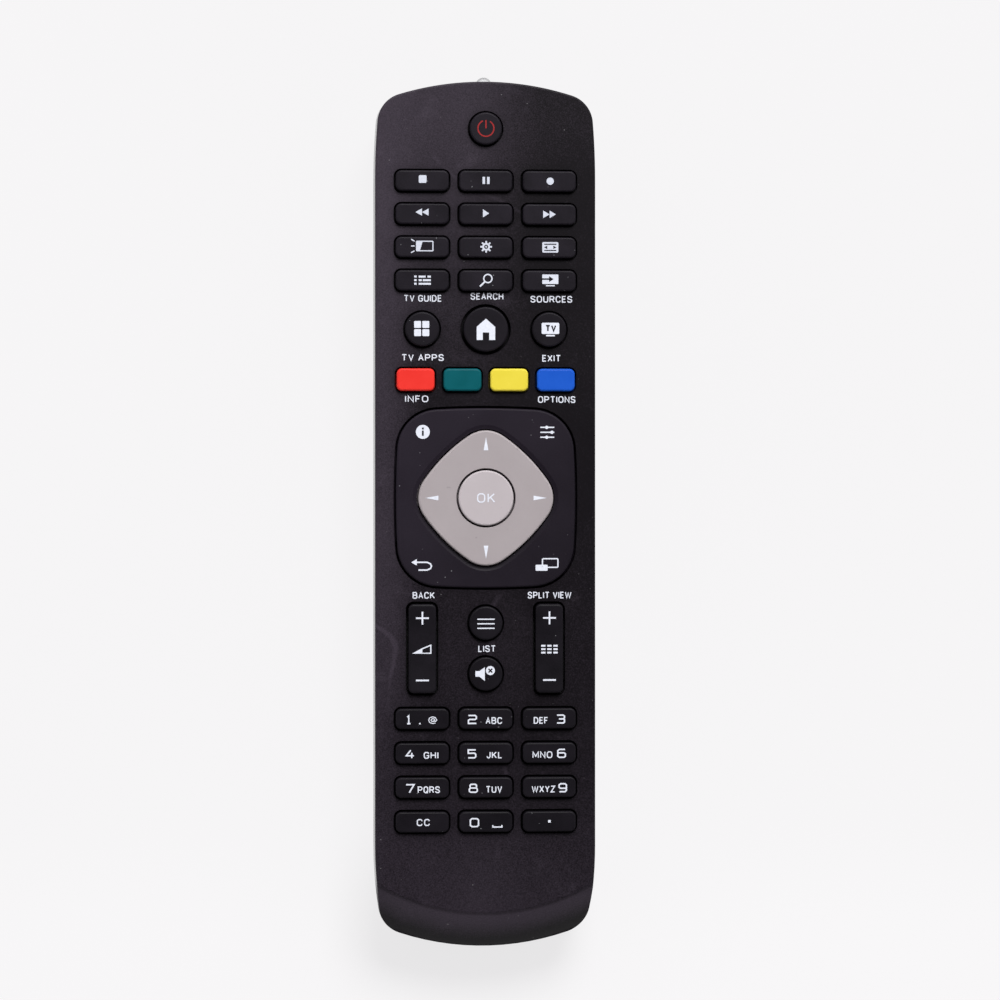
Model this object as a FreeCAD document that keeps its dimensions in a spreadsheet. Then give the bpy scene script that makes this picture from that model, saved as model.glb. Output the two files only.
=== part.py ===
import FreeCAD, Part
import math
import os
import re

import Sketcher

# A slim television remote control lying on its back, in millimetres.
# X runs across it, +Y points to the infrared end and +Z out of the key face.
# The origin is on the surface that it lies on, under the middle of the case.

V = FreeCAD.Vector
document = FreeCAD.newDocument("television_remote")
sheet = document.addObject("Spreadsheet::Sheet", "sizes")

# Driving sizes: name, value, and what it measures
SIZES = [
    ("case_half_width", 25.8, "half the width where the two shells meet"),
    ("case_nose", 100.3, "Y of the infrared end at the seam"),
    ("case_tail", 101.4, "distance of the battery end at the seam, towards -Y"),
    ("case_height", 22.0, "height of the key face"),
    ("seam_height", 15.0, "height of the seam between the shells"),
    ("brow_height", 19.0, "height where the chin is steepest"),
    ("brow_run", 2.6, "from the battery end to the chin at that height"),
    ("edge_run", 5.5, "from the battery end to the chin just under the face's edge"),
    ("chin_run", 7.7, "from the battery end to the crease where the chin leaves the face"),
    ("face_draft", 0.1, "how far the face is drawn in from the seam"),
    ("base_draft", 0.9, "how far the underside is drawn in before its rounding"),
    ("nose_arc", 68.0, "radius of the infrared end in plan"),
    ("tail_arc", 62.0, "radius of the battery end in plan"),
    ("corner_radius", 7.2, "plan corners"),
    ("nose_flank_arc", 170.0, "radius of the flanks as they draw in to the nose"),
    ("nose_flank", 23.0, "length of that drawn-in stretch"),
    ("tail_flank_arc", 95.0, "radius of the flanks as they draw in to the tail"),
    ("tail_flank", 24.0, "length of that drawn-in stretch"),
    ("nose_lift", 6.0, "rise of the underside at the nose"),
    ("lift_start", 20.0, "Y where the underside starts to rise"),
    ("base_round", 4.5, "rounding along the underside"),
    ("face_round", 0.9, "rounding round the key face"),
    ("wall", 1.8, "moulded wall of both shells"),
    ("seam_gap", 0.05, "joint between the shells"),
    ("key_gap", 0.25, "running gap round each key"),
    ("key_rise", 1.3, "how far a key stands out of the face"),
    ("key_travel", 0.8, "stroke of a key"),
    ("key_flange", 0.8, "thickness of the lip that holds a key in"),
    ("flange_lip", 0.6, "how far that lip reaches past the key"),
    ("key_chamfer", 0.3, "bevel along a key's top edge"),
    ("press_gap", 0.05, "gap left between plunger and contact at full stroke"),
    ("stack_space", 3.4, "from the inside of the face to the circuit board"),
    ("mat_thickness", 1.0, "rubber key mat"),
    ("mat_gap", 0.3, "gap round a plunger in the mat"),
    ("board_thickness", 1.2, "circuit board"),
    ("rib_width", 0.8, "ribs of the cover that press on the mat"),
    ("snap_first", -64.0, "Y of the first snap tongue"),
    ("snap_pitch", 56.0, "snap tongues along each side"),
    ("snap_width", 6.0, "snap tongues, along"),
    ("snap_thickness", 0.9, "snap tongues"),
    ("snap_depth", 2.4, "how far they reach below the seam"),
    ("snap_barb", 0.5, "how far their barbs stand out"),
    ("tongue_gap", 0.15, "gap between a tongue and the wall that it hooks into"),
    ("board_inset", 1.6, "gap from the shell's inner wall to the board"),
    ("pad_thickness", 0.05, "carbon contacts printed on the board"),
    ("side_margin", 4.875, "from the case's side to the outer keys"),
    ("key_spacing", 2.4, "between the function or number keys of a row"),
    ("bar_height", 4.75, "function and number keys, along"),
    ("bar_corner", 1.35, "their corners"),
    ("bar_plunger_width", 6.0, "plunger under such a key, across"),
    ("bar_plunger_height", 2.2, "plunger under such a key, along"),
    ("function_drop", 12.15, "from the power key to the first row of function keys"),
    ("function_pitch", 7.7, "rows of function keys"),
    ("number_drop", 16.25, "from the rockers to the first row of number keys"),
    ("number_pitch", 7.97, "rows of number keys"),
    ("power_setback", 11.25, "from the infrared end to the power key"),
    ("power_diameter", 7.5, "power key"),
    ("home_drop", 11.3, "from the last row of function keys to the home row"),
    ("round_diameter", 8.0, "the two outer keys of the home row"),
    ("home_diameter", 10.4, "home key"),
    ("small_round_diameter", 7.8, "list and mute keys"),
    ("list_rise", 5.9, "from the rockers' middle up to the list key"),
    ("mute_drop", 5.9, "from the rockers' middle down to the mute key"),
    ("round_plunger", 3.0, "plunger side under a round key"),
    ("colour_drop", 11.7, "from the home row to the colour keys"),
    ("colour_margin", 5.11, "from the case's side to the outer colour keys"),
    ("colour_spacing", 2.06, "between two colour keys"),
    ("colour_height", 5.2, "colour key, along"),
    ("colour_corner", 1.25, "its corners"),
    ("rocker_drop", 34.9, "from the navigation pad to the rockers' middle"),
    ("rocker_width", 6.4, "rocker, across"),
    ("rocker_length", 20.3, "rocker, along"),
    ("rocker_corner", 1.2, "its corners"),
    ("rocker_gap", 0.35, "running gap round a rocker"),
    ("rocker_rise", 1.7, "how far a rocker stands out of the face"),
    ("rocker_pivot", 0.6, "radius of the rocker's pivot bar"),
    ("rocker_ear", 1.0, "how far the pivot bar reaches past the rocker"),
    ("rocker_reach", 7.0, "from the pivot to each plunger of a rocker"),
    ("rocker_stroke", 0.45, "stroke of a rocker's plunger"),
    ("pad_drop", 27.4, "from the colour keys to the middle of the navigation pad"),
    ("plate_margin", 4.95, "from the case's side to the corner plate"),
    ("plate_side_arc", 200.0, "bulge of its sides"),
    ("plate_corner", 9.5, "its corners"),
    ("plate_rise", 0.6, "how far it stands out of the face"),
    ("plate_gap", 0.35, "running gap round the plate and round the ring"),
    ("plate_skirt", 1.4, "thickness of its skirt"),
    ("plate_drop", 0.7, "from the inside of the face to the plate's lip"),
    ("dish_width", 1.1, "sloping rim round the ring"),
    ("dish_depth", 0.45, "depth of that rim"),
    ("ring_margin", 7.15, "from the plate's side to that of the ring's diamond"),
    ("ring_side_arc", 40.0, "bulge of its sides"),
    ("ring_corner", 7.0, "its corners"),
    ("ring_drop", 0.6, "from the inside of the face to the ring's lip"),
    ("ring_rise", 1.5, "how far the ring stands out of the face"),
    ("ring_skirt", 1.3, "thickness of its skirt"),
    ("ring_bevel", 0.5, "bevel of its outer edge"),
    ("ok_margin", 14.6, "how much narrower the centre key is than the ring's diamond"),
    ("ok_gap", 0.45, "running gap round the centre key"),
    ("ok_rise", 1.9, "how far the centre key stands out of the face"),
    ("rocking_bar", 0.8, "radius of the bars that the ring and plate tilt on"),
    ("rocking_web", 1.4, "thickness of the rocking frames"),
    ("rocking_room", 0.7, "room round the rocking frames"),
    ("plate_rocker_width", 1.8, "width of the plate's rocking frame"),
    ("ring_rocker_width", 3.4, "width of the ring's rocking frame"),
    ("cell_diameter", 10.5, "AAA cell"),
    ("cell_length", 43.7, "AAA cell without its nub"),
    ("nub_diameter", 3.6, "positive nub"),
    ("nub_length", 0.8, "positive nub"),
    ("cell_gap", 0.35, "room round a cell"),
    ("bay_length", 48.5, "battery bay along Y"),
    ("bay_head", -34.0, "Y of the bay's head end"),
    ("bay_wall", 1.2, "walls of the bay"),
    ("door_thickness", 1.5, "battery door"),
    ("door_half_width", 15.0, "battery door"),
    ("door_head", -28.0, "Y of the door's head end"),
    ("door_gap", 0.15, "gap round the door"),
    ("door_stroke", 8.0, "how far the door slides to come free"),
    ("tongue_reach", 0.9, "side tongues of the door"),
    ("tongue_length", 5.0, "side tongues of the door"),
    ("tongue_thickness", 0.7, "side tongues of the door"),
    ("tongue_pitch", 21.0, "side tongues of the door"),
    ("tongue_first", 14.0, "from the door's head to its first side tongues"),
    ("head_tab_width", 8.0, "tab at the door's head"),
    ("grip_width", 16.0, "thumb grooves in the door, across"),
    ("grip_groove", 0.8, "thumb grooves in the door, along"),
    ("grip_depth", 0.4, "thumb grooves in the door"),
    ("grip_pitch", 2.0, "thumb grooves in the door"),
    ("seat_margin", 3.0, "how far the door's seat reaches past the door"),
    ("seat_length", 68.0, "seat of the door along Y"),
    ("seat_foot", 0.6, "underside of what is moulded onto the shell's floor"),
    ("ledge", 1.2, "thickness of the ledge over the door's edge"),
    ("post_x", 15.0, "posts that carry the board"),
    ("post_y", -8.0, "Y of the first pair of posts"),
    ("post_pitch", 60.0, "from the first pair of posts to the second"),
    ("post_foot", 1.7, "underside of the posts, inside the floor"),
    ("post_diameter", 4.0, "posts that carry the board"),
    ("cut_margin", 1.0, "how far a cut starts outside the surface"),
    ("contact_thickness", 0.4, "battery contact plates"),
    ("contact_width", 8.0, "battery contacts, across a cell"),
    ("lens_diameter", 4.0, "infrared lens"),
    ("lens_proud", 2.0, "how far the lens stands out of the nose"),
    ("lens_length", 6.2, "whole infrared diode"),
    ("lens_leg", 0.5, "legs of the diode"),
    ("lens_leg_length", 2.5, "legs of the diode, along the board"),
    ("lens_pitch", 2.54, "legs of the diode"),
    ("chip_width", 8.0, "controller chip, across"),
    ("chip_length", 10.0, "controller chip, along"),
    ("chip_height", 1.6, "controller chip"),
    ("chip_y", 12.0, "Y of the controller chip"),
    ("resonator_width", 6.0, "ceramic resonator"),
    ("resonator_depth", 2.5, "ceramic resonator"),
    ("resonator_height", 3.5, "ceramic resonator"),
    ("transistor_width", 3.0, "diode driver"),
    ("transistor_depth", 1.4, "diode driver"),
    ("transistor_height", 1.1, "diode driver"),
    ("can_diameter", 5.0, "reservoir capacitor"),
    ("can_length", 11.0, "reservoir capacitor"),
    ("smd_width", 1.25, "small parts"),
    ("smd_length", 2.0, "small parts"),
    ("smd_height", 0.6, "small parts"),
    ("lens_collar", 0.5, "collar at the foot of the diode"),
]

for row, (name, value, meaning) in enumerate(SIZES, start=1):
    sheet.set(f"A{row}", name)
    sheet.set(f"B{row}", str(value))
    sheet.set(f"C{row}", meaning)
    sheet.setAlias(f"B{row}", name)
document.recompute()

# Places and levels that several pieces share, as sums of the sizes above
LEVELS = {
    "face_tail": "(case_tail - chin_run)",
    "edge_tail": "(case_tail - edge_run)",
    "brow_tail": "(case_tail - brow_run)",
    "column_pitch": "((case_half_width - side_margin + key_spacing / 2) / 1.5)",
    "bar_width": "(column_pitch - key_spacing)",
    "colour_pitch": "((case_half_width - colour_margin + colour_spacing / 2) / 2)",
    "colour_width": "(colour_pitch - colour_spacing)",
    "power_y": "(case_nose - power_setback)",
    "function_top": "(power_y - function_drop)",
    "round_y": "(function_top - function_pitch * 3 - home_drop)",
    "colour_y": "(round_y - colour_drop)",
    "pad_y": "(colour_y - pad_drop)",
    "rocker_y": "(pad_y - rocker_drop)",
    "list_y": "(rocker_y + list_rise)",
    "mute_y": "(rocker_y - mute_drop)",
    "number_top": "(rocker_y - number_drop)",
    "plate_half": "(case_half_width - plate_margin)",
    "ring_half": "(plate_half - ring_margin)",
    "plate_rocker_outer": "(plate_half - plate_skirt - rocking_room)",
    "plate_rocker_inner": "(plate_rocker_outer - plate_rocker_width)",
    "ring_rocker_outer": "(ring_half - ring_skirt - rocking_room)",
    "ring_rocker_inner": "(ring_rocker_outer - ring_rocker_width)",
    "ok_diameter": "(ring_half * 2 - ok_margin)",
    "lens_seat": "(lens_diameter + tongue_gap)",
    "roof": "(case_height - wall)",
    "board_top": "(case_height - wall - stack_space)",
    "board_bottom": "(case_height - wall - stack_space - board_thickness)",
    "plunger_end": "(stack_space - pad_thickness - key_travel - press_gap)",
    "rocking_roof": "(mat_thickness - stack_space + rocking_bar * 2 + rocking_web)",
    "bar_pivot": "(stack_space - mat_thickness - rocking_bar)",
    "ledge_top": "(door_thickness + door_gap + ledge)",
    "cell_x": "(cell_diameter / 2 + cell_gap * 0.75)",
    "plate_foot": "(plate_drop + key_flange)",
    "ring_foot": "(ring_drop + key_flange)",
    "board_margin": "(wall + board_inset)",
    "bay_tail": "(bay_head - bay_length)",
    "bay_half": "(cell_diameter + cell_gap * 1.5)",
    "cell_axis": "(door_thickness + cell_gap + cell_diameter / 2)",
    "bay_roof": "(door_thickness + cell_gap * 2 + cell_diameter)",
}


def spelled(text):
    """Replace each level by its sum, so that only sheet names are left."""
    def replaced(match):
        return spelled(LEVELS[match[0]]) if match[0] in LEVELS else match[0]
    return re.sub(r"[a-z_]+[a-z_0-9]*", replaced, text)


def bound(text):
    """An expression on the sheet's cells."""
    return re.sub(r"[a-z_]+[a-z_0-9]*", lambda m: "sizes." + m[0], spelled(text))


def number(text):
    """The same sum as a number, for first guesses and for plain solids."""
    total = sheet.evalExpression(bound(text))
    return float(total)


def new_body(label):
    body = document.addObject("PartDesign::Body", label)
    body.Label = label
    return body


def origin_plane(body, role="XY_Plane"):
    """One of the body's own origin planes or axes."""
    return next(f for f in body.Origin.OriginFeatures if f.Role == role)


def new_sketch(body, name, x="0", y="0", z="0", role="XY_Plane"):
    sketch = body.newObject("Sketcher::SketchObject", name)
    sketch.AttachmentSupport = (origin_plane(body, role), [""])
    sketch.MapMode = "FlatFace"
    for axis, text in (("x", x), ("y", y), ("z", z)):
        if text != "0":
            sketch.setExpression("AttachmentOffset.Base." + axis, bound(text))
    return sketch


def pin(sketch, constraint, text):
    """Add a dimension and bind it to the sheet."""
    index = sketch.addConstraint(constraint)
    sketch.setExpression(f"Constraints[{index}]", bound(text))


def circle(sketch, diameter):
    sketch.addGeometry(Part.Circle(V(0, 0, 0), V(0, 0, 1), number(diameter) / 2))
    sketch.addConstraint(Sketcher.Constraint("Coincident", 0, 3, -1, 1))
    pin(sketch, Sketcher.Constraint("Diameter", 0, number(diameter)), diameter)


def line(start, end):
    return Part.LineSegment(V(*start, 0), V(*end, 0))


def arc(centre, radius, start, end):
    return Part.ArcOfCircle(Part.Circle(V(*centre, 0), V(0, 0, 1), radius), start, end)


def chain(sketch, edges):
    """Add edges that follow each other round a closed loop, each tangent to the next."""
    sketch.addGeometry(edges)
    for index in range(len(edges)):
        following = (index + 1) % len(edges)
        sketch.addConstraint(Sketcher.Constraint("Tangent", index, 2, following, 1))


def rectangle(sketch, width, height):
    x, y = number(width) / 2, number(height) / 2
    corners = [(-x, -y), (x, -y), (x, y), (-x, y)]
    sketch.addGeometry([line(corners[i], corners[(i + 1) % 4]) for i in range(4)])
    for index in range(4):
        sketch.addConstraint(Sketcher.Constraint("Coincident", index, 2, (index + 1) % 4, 1))
        sketch.addConstraint(Sketcher.Constraint(("Horizontal", "Vertical")[index % 2], index))
    sketch.addConstraint(Sketcher.Constraint("Symmetric", 0, 1, 2, 1, -1, 1))
    pin(sketch, Sketcher.Constraint("DistanceX", 0, 1, 0, 2, 2 * x), width)
    pin(sketch, Sketcher.Constraint("DistanceY", 1, 1, 1, 2, 2 * y), height)


def rounded_rectangle(sketch, width, height, corner):
    x, y, r = number(width) / 2, number(height) / 2, number(corner)
    quarter = math.pi / 2
    chain(sketch, [
        line((-x + r, -y), (x - r, -y)),
        arc((x - r, -y + r), r, -quarter, 0),
        line((x, -y + r), (x, y - r)),
        arc((x - r, y - r), r, 0, quarter),
        line((x - r, y), (-x + r, y)),
        arc((-x + r, y - r), r, quarter, 2 * quarter),
        line((-x, y - r), (-x, -y + r)),
        arc((-x + r, -y + r), r, 2 * quarter, 3 * quarter),
    ])
    for index in (0, 4):
        sketch.addConstraint(Sketcher.Constraint("Horizontal", index))
        sketch.addConstraint(Sketcher.Constraint("Vertical", index + 2))
    for index in (3, 5, 7):
        sketch.addConstraint(Sketcher.Constraint("Equal", 1, index))
    sketch.addConstraint(Sketcher.Constraint("Symmetric", 7, 3, 3, 3, -1, 1))
    pin(sketch, Sketcher.Constraint("Radius", 1, r), corner)
    pin(sketch, Sketcher.Constraint("DistanceX", 6, 1, 2, 1, 2 * x), width)
    pin(sketch, Sketcher.Constraint("DistanceY", 0, 1, 4, 1, 2 * y), height)


def bulged_square(sketch, half, side_arc, corner):
    """A square with bulging sides and round corners, all arcs tangent."""
    a, big, r = number(half), number(side_arc), number(corner)
    lean = big - a
    c = (-lean + math.sqrt(2 * (big - r) ** 2 - lean**2)) / 2
    turn = math.atan2(c, c + lean)
    edges = []
    for quarter in range(4):
        middle = (quarter - 1) * math.pi / 2
        out = V(math.cos(middle), math.sin(middle), 0)
        across = V(-out.y, out.x, 0)
        side_centre = out * (a - big)
        corner_centre = out * c + across * c
        edges.append(arc((side_centre.x, side_centre.y), big, middle - turn, middle + turn))
        edges.append(arc((corner_centre.x, corner_centre.y), r,
                         middle + turn, middle + math.pi / 2 - turn))
    chain(sketch, edges)
    for index in (2, 4, 6):
        sketch.addConstraint(Sketcher.Constraint("Equal", 0, index))
        sketch.addConstraint(Sketcher.Constraint("Equal", 1, index + 1))
    for index, axis in ((0, -2), (4, -2), (2, -1), (6, -1)):
        sketch.addConstraint(Sketcher.Constraint("PointOnObject", index, 3, axis))
    pin(sketch, Sketcher.Constraint("Radius", 0, big), side_arc)
    pin(sketch, Sketcher.Constraint("Radius", 1, r), corner)
    pin(sketch, Sketcher.Constraint("DistanceY", -1, 1, 0, 3, big - a), f"{side_arc} - {half}")
    pin(sketch, Sketcher.Constraint("DistanceX", 2, 3, -1, 1, big - a), f"{side_arc} - {half}")


def case_outline(sketch, inset="0", tail="case_tail", nose="case_nose"):
    """The plan of the case, or any line drawn in from it by the inset."""
    w = number(f"case_half_width - {inset}")
    top, bottom = number(f"{nose} - {inset}"), -number(f"{tail} - {inset}")
    r = number(f"corner_radius - {inset}")
    ends = (
        (1, top, number(f"nose_arc - {inset}"), number(f"nose_flank_arc - {inset}"),
         number(f"{nose} - nose_flank")),
        (-1, bottom, number(f"tail_arc - {inset}"), number(f"tail_flank_arc - {inset}"),
         -number(f"{tail} - tail_flank")),
    )
    right = []
    for sign, apex, end_arc, flank_arc, flank_y in ends:
        # The corner's centre is where its distances from the two arcs' centres meet
        middle = V(0, apex - sign * end_arc, 0)
        flank = V(w - flank_arc, flank_y, 0)
        far, near = end_arc - r, flank_arc - r
        gap = (middle - flank).Length
        along = (near**2 - far**2 + gap**2) / (2 * gap)
        aside = math.sqrt(near**2 - along**2)
        axis = (middle - flank) * (1 / gap)
        across = V(-axis.y, axis.x, 0)
        centre = max((flank + axis * along + across * side for side in (aside, -aside)),
                     key=lambda point: point.x)
        flank_turn = math.atan2(centre.y - flank.y, centre.x - flank.x)
        end_turn = math.atan2(centre.y - middle.y, centre.x - middle.x)
        right.append((flank, flank_arc, flank_turn, centre, end_turn, middle, end_arc, flank_y))
    up, down = right
    pi = math.pi
    edges = [
        line((w, down[7]), (w, up[7])),
        arc((up[0].x, up[0].y), up[1], 0, up[2]),
        arc((up[3].x, up[3].y), r, up[2], up[4]),
        arc((0, up[5].y), up[6], up[4], pi - up[4]),
        arc((-up[3].x, up[3].y), r, pi - up[4], pi - up[2]),
        arc((-up[0].x, up[0].y), up[1], pi - up[2], pi),
        line((-w, up[7]), (-w, down[7])),
        arc((-down[0].x, down[0].y), down[1], pi, pi - down[2]),
        arc((-down[3].x, down[3].y), r, pi - down[2], pi - down[4]),
        arc((0, down[5].y), down[6], pi - down[4], 2 * pi + down[4]),
        arc((down[3].x, down[3].y), r, down[4], down[2]),
        arc((down[0].x, down[0].y), down[1], down[2], 0),
    ]
    chain(sketch, edges)
    sketch.addConstraint(Sketcher.Constraint("Vertical", 0))
    sketch.addConstraint(Sketcher.Constraint("Vertical", 6))
    for one, other in ((1, 5), (2, 4), (2, 8), (2, 10), (7, 11)):
        sketch.addConstraint(Sketcher.Constraint("Equal", one, other))
    for index in (3, 9):
        sketch.addConstraint(Sketcher.Constraint("PointOnObject", index, 3, -2))
    radii = ((1, "nose_flank_arc"), (2, "corner_radius"), (3, "nose_arc"),
             (7, "tail_flank_arc"), (9, "tail_arc"))
    for index, name in radii:
        pin(sketch, Sketcher.Constraint("Radius", index, number(f"{name} - {inset}")),
            f"{name} - {inset}")
    pin(sketch, Sketcher.Constraint("DistanceX", -1, 1, 0, 1, w), f"case_half_width - {inset}")
    pin(sketch, Sketcher.Constraint("DistanceX", 6, 1, -1, 1, w), f"case_half_width - {inset}")
    for index, point in ((0, 2), (6, 1)):
        pin(sketch, Sketcher.Constraint("DistanceY", -1, 1, index, point, up[7]),
            f"{nose} - nose_flank")
    for index, point in ((0, 1), (6, 2)):
        pin(sketch, Sketcher.Constraint("DistanceY", index, point, -1, 1, -down[7]),
            f"{tail} - tail_flank")
    pin(sketch, Sketcher.Constraint("DistanceY", -1, 1, 3, 3, up[5].y), f"{nose} - nose_arc")
    pin(sketch, Sketcher.Constraint("DistanceY", 9, 3, -1, 1, -down[5].y),
        f"{tail} - tail_arc")


def pad(body, sketch, length, down=False):
    feature = body.newObject("PartDesign::Pad", sketch.Name + "_pad")
    feature.Profile = sketch
    feature.setExpression("Length", bound(length))
    feature.Reversed = down
    return feature


def pocket(body, sketch, length, up=False):
    feature = body.newObject("PartDesign::Pocket", sketch.Name + "_pocket")
    feature.Profile = sketch
    feature.setExpression("Length", bound(length))
    feature.Reversed = up
    return feature


def grid(body, originals, steps):
    """Repeat features: a step is an axis, a count and a pitch, or a plane to mirror in."""
    multi = body.newObject("PartDesign::MultiTransform", originals[-1].Name + "_grid")
    multi.Originals = originals
    parts = []
    for role, *spacing in steps:
        name = f"{originals[-1].Name}_{role}"
        guide = (origin_plane(body, role), [""])
        if spacing:
            step = body.newObject("PartDesign::LinearPattern", name)
            step.Direction = guide
            step.Mode = "Spacing"
            step.Occurrences = spacing[0]
            step.setExpression("Offset", bound(spacing[1]))
        else:
            step = body.newObject("PartDesign::Mirrored", name)
            step.MirrorPlane = guide
        parts.append(step)
    multi.Transformations = parts
    body.Tip = multi
    return multi


def mirrored(body, originals, role):
    feature = body.newObject("PartDesign::Mirrored", originals[-1].Name + "_mirror")
    feature.Originals = originals
    feature.MirrorPlane = (origin_plane(body, role), [""])
    body.Tip = feature
    return feature


def combine(body, kind, tool):
    """Cut another body out of this one, or join it on."""
    feature = body.newObject("PartDesign::Boolean", f"{tool.Name}_{kind.lower()}")
    feature.Type = kind
    feature.setObjects([tool])
    return feature


def loft(body, kind, sections):
    """Loft through outlines, each given as name, height, inset, tail distance."""
    sketches = []
    for name, height, inset, tail in sections:
        sketch = new_sketch(body, f"{body.Name}_{name}", z=height)
        case_outline(sketch, inset, tail)
        sketches.append(sketch)
    feature = body.newObject("PartDesign::" + kind, f"{body.Name}_{sections[0][0]}_loft")
    feature.Profile = sketches[0]
    feature.Sections = sketches[1:]
    feature.Ruled = True
    document.recompute()
    return feature


def edges_where(shape, test):
    """Names of the edges whose points all pass the test."""
    names = []
    for index, edge in enumerate(shape.Edges, start=1):
        span = edge.LastParameter - edge.FirstParameter
        points = [edge.valueAt(edge.FirstParameter + span * k / 4) for k in range(5)]
        if all(test(point) for point in points):
            names.append(f"Edge{index}")
    return names


def level_edges(shape, height):
    return edges_where(shape, lambda point: abs(point.z - height) < 1e-4)


def bevel(body, feature, edges, size, depth=None):
    chamfer = body.newObject("PartDesign::Chamfer", feature.Name + "_bevel")
    chamfer.Base = (feature, edges)
    chamfer.setExpression("Size", bound(size))
    if depth:
        chamfer.ChamferType = "Two distances"
        chamfer.setExpression("Size2", bound(depth))
    return chamfer


def rounded(body, feature, edges, radius):
    fillet = body.newObject("PartDesign::Fillet", feature.Name + "_round")
    fillet.Base = (feature, edges)
    fillet.setExpression("Radius", bound(radius))
    return fillet


def rear_blank(body, inset):
    """The rear half as one solid, or the room inside it when drawn in by the wall."""
    feature = loft(body, "AdditiveLoft", [
        ("seam", "seam_height", inset, "case_tail"),
        ("base", inset, f"(base_draft + {inset})", "case_tail"),
    ])
    lift = new_sketch(body, f"{body.Name}_lift", role="YZ_Plane")
    start, low = number("lift_start"), number(inset)
    far, under = number("case_nose + cut_margin"), -number("cut_margin")
    high = low + number("nose_lift * (case_nose + cut_margin - lift_start) / (case_nose - lift_start)")
    lift.addGeometry([
        line((start, low), (far, high)),
        line((far, high), (far, under)),
        line((far, under), (start, under)),
        line((start, under), (start, low)),
    ])
    for index in range(4):
        lift.addConstraint(Sketcher.Constraint("Coincident", index, 2, (index + 1) % 4, 1))
    lift.addConstraint(Sketcher.Constraint("Vertical", 1))
    lift.addConstraint(Sketcher.Constraint("Horizontal", 2))
    lift.addConstraint(Sketcher.Constraint("Vertical", 3))
    pin(lift, Sketcher.Constraint("DistanceX", -1, 1, 0, 1, start), "lift_start")
    pin(lift, Sketcher.Constraint("DistanceX", -1, 1, 0, 2, far), "case_nose + cut_margin")
    pin(lift, Sketcher.Constraint("DistanceY", 2, 2, -1, 1, -under), "cut_margin")
    pin(lift, Sketcher.Constraint("DistanceY", 3, 1, 3, 2, low - under), f"{inset} + cut_margin")
    pin(lift, Sketcher.Constraint("DistanceY", 0, 1, 0, 2, high - low),
        "nose_lift * (case_nose + cut_margin - lift_start) / (case_nose - lift_start)")
    cut = pocket(body, lift, "case_half_width * 2")
    cut.Midplane = True
    document.recompute()

    # The rim of the underside is every low edge but the one across it where the slope starts
    rim = edges_where(cut.Shape, lambda point: point.z < high and abs(point.y - start) > 1e-4)
    if inset == "0":
        return rounded(body, cut, rim, "base_round")
    return bevel(body, cut, rim, f"base_round - {inset}")


# Front cover: the matte upper moulding with the key face, chin and key openings
cover = new_body("front_cover")
loft(cover, "AdditiveLoft", [
    ("face", "case_height", "(face_draft + face_round)", "(face_tail + face_round)"),
    ("bevel", "(case_height - face_round * 0.3)", "(face_draft + face_round * 0.3)",
     "(face_tail + face_round * 1.3)"),
    ("edge", "(case_height - face_round)", "face_draft", "edge_tail"),
    ("brow", "brow_height", "(face_draft / 2)", "brow_tail"),
    ("seam", "(seam_height + seam_gap)", "0", "case_tail"),
])
loft(cover, "SubtractiveLoft", [
    ("roof", "roof", "(face_draft + wall)", "face_tail"),
    ("inner_brow", "(brow_height - wall / 2)", "(face_draft / 2 + wall)", "brow_tail"),
    ("inner_seam", "seam_height", "wall", "case_tail"),
])


# The openings are made as one set of prisms and cut out of the face together
openings = new_body("key_openings")
openings.AllowCompound = True


def opening(name, x, y, draw, *sizes):
    """The prism of one key opening."""
    sketch = new_sketch(openings, name, x, y, "(roof - wall * 0.1)")
    draw(sketch, *sizes)
    return pad(openings, sketch, "wall * 1.2")


def clear(size, gap="key_gap"):
    return f"({size} + {gap} * 2)"


bars = (rounded_rectangle, clear("bar_width"), clear("bar_height"), "(bar_corner + key_gap)")
first = opening("function_opening", "-column_pitch", "function_top - function_pitch * 3", *bars)
grid(openings, [first], [("X_Axis", 3, "column_pitch"), ("Y_Axis", 4, "function_pitch")])
first = opening("number_opening", "-column_pitch", "number_top - number_pitch * 3", *bars)
grid(openings, [first], [("X_Axis", 3, "column_pitch"), ("Y_Axis", 4, "number_pitch")])
first = opening("colour_opening", "-colour_pitch * 1.5", "colour_y", rounded_rectangle,
                clear("colour_width"), clear("colour_height"), "(colour_corner + key_gap)")
grid(openings, [first], [("X_Axis", 4, "colour_pitch")])
opening("power_opening", "0", "power_y", circle, clear("power_diameter"))
opening("home_opening", "0", "round_y", circle, clear("home_diameter"))
first = opening("round_opening", "-column_pitch", "round_y", circle, clear("round_diameter"))
mirrored(openings, [first], "YZ_Plane")
first = opening("rocker_opening", "-column_pitch", "rocker_y", rounded_rectangle,
                clear("rocker_width", "rocker_gap"), clear("rocker_length", "rocker_gap"),
                "(rocker_corner + rocker_gap)")
mirrored(openings, [first], "YZ_Plane")
opening("list_opening", "0", "list_y", circle, clear("small_round_diameter"))
opening("mute_opening", "0", "mute_y", circle, clear("small_round_diameter"))
opening("pad_opening", "0", "pad_y", bulged_square, "(plate_half + plate_gap)",
        "(plate_side_arc + plate_gap)", "(plate_corner + plate_gap)")

# Ribs under the face that hold the mat down on the board, and the snap tongues
inside = new_body("cover_ribs_and_snaps")
inside.AllowCompound = True
for name, y, count, pitch in (
    ("number_rib", "(number_top - number_pitch * 2.5)", 3, "number_pitch"),
    ("function_rib", "(function_top - function_pitch * 2.5)", 3, "function_pitch"),
):
    sketch = new_sketch(inside, name, "0", y, "roof")
    rectangle(sketch, "((case_half_width - board_margin) * 2)", "rib_width")
    first = pad(inside, sketch, "stack_space - mat_thickness", down=True)
    grid(inside, [first], [("Y_Axis", count, pitch)])

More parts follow.
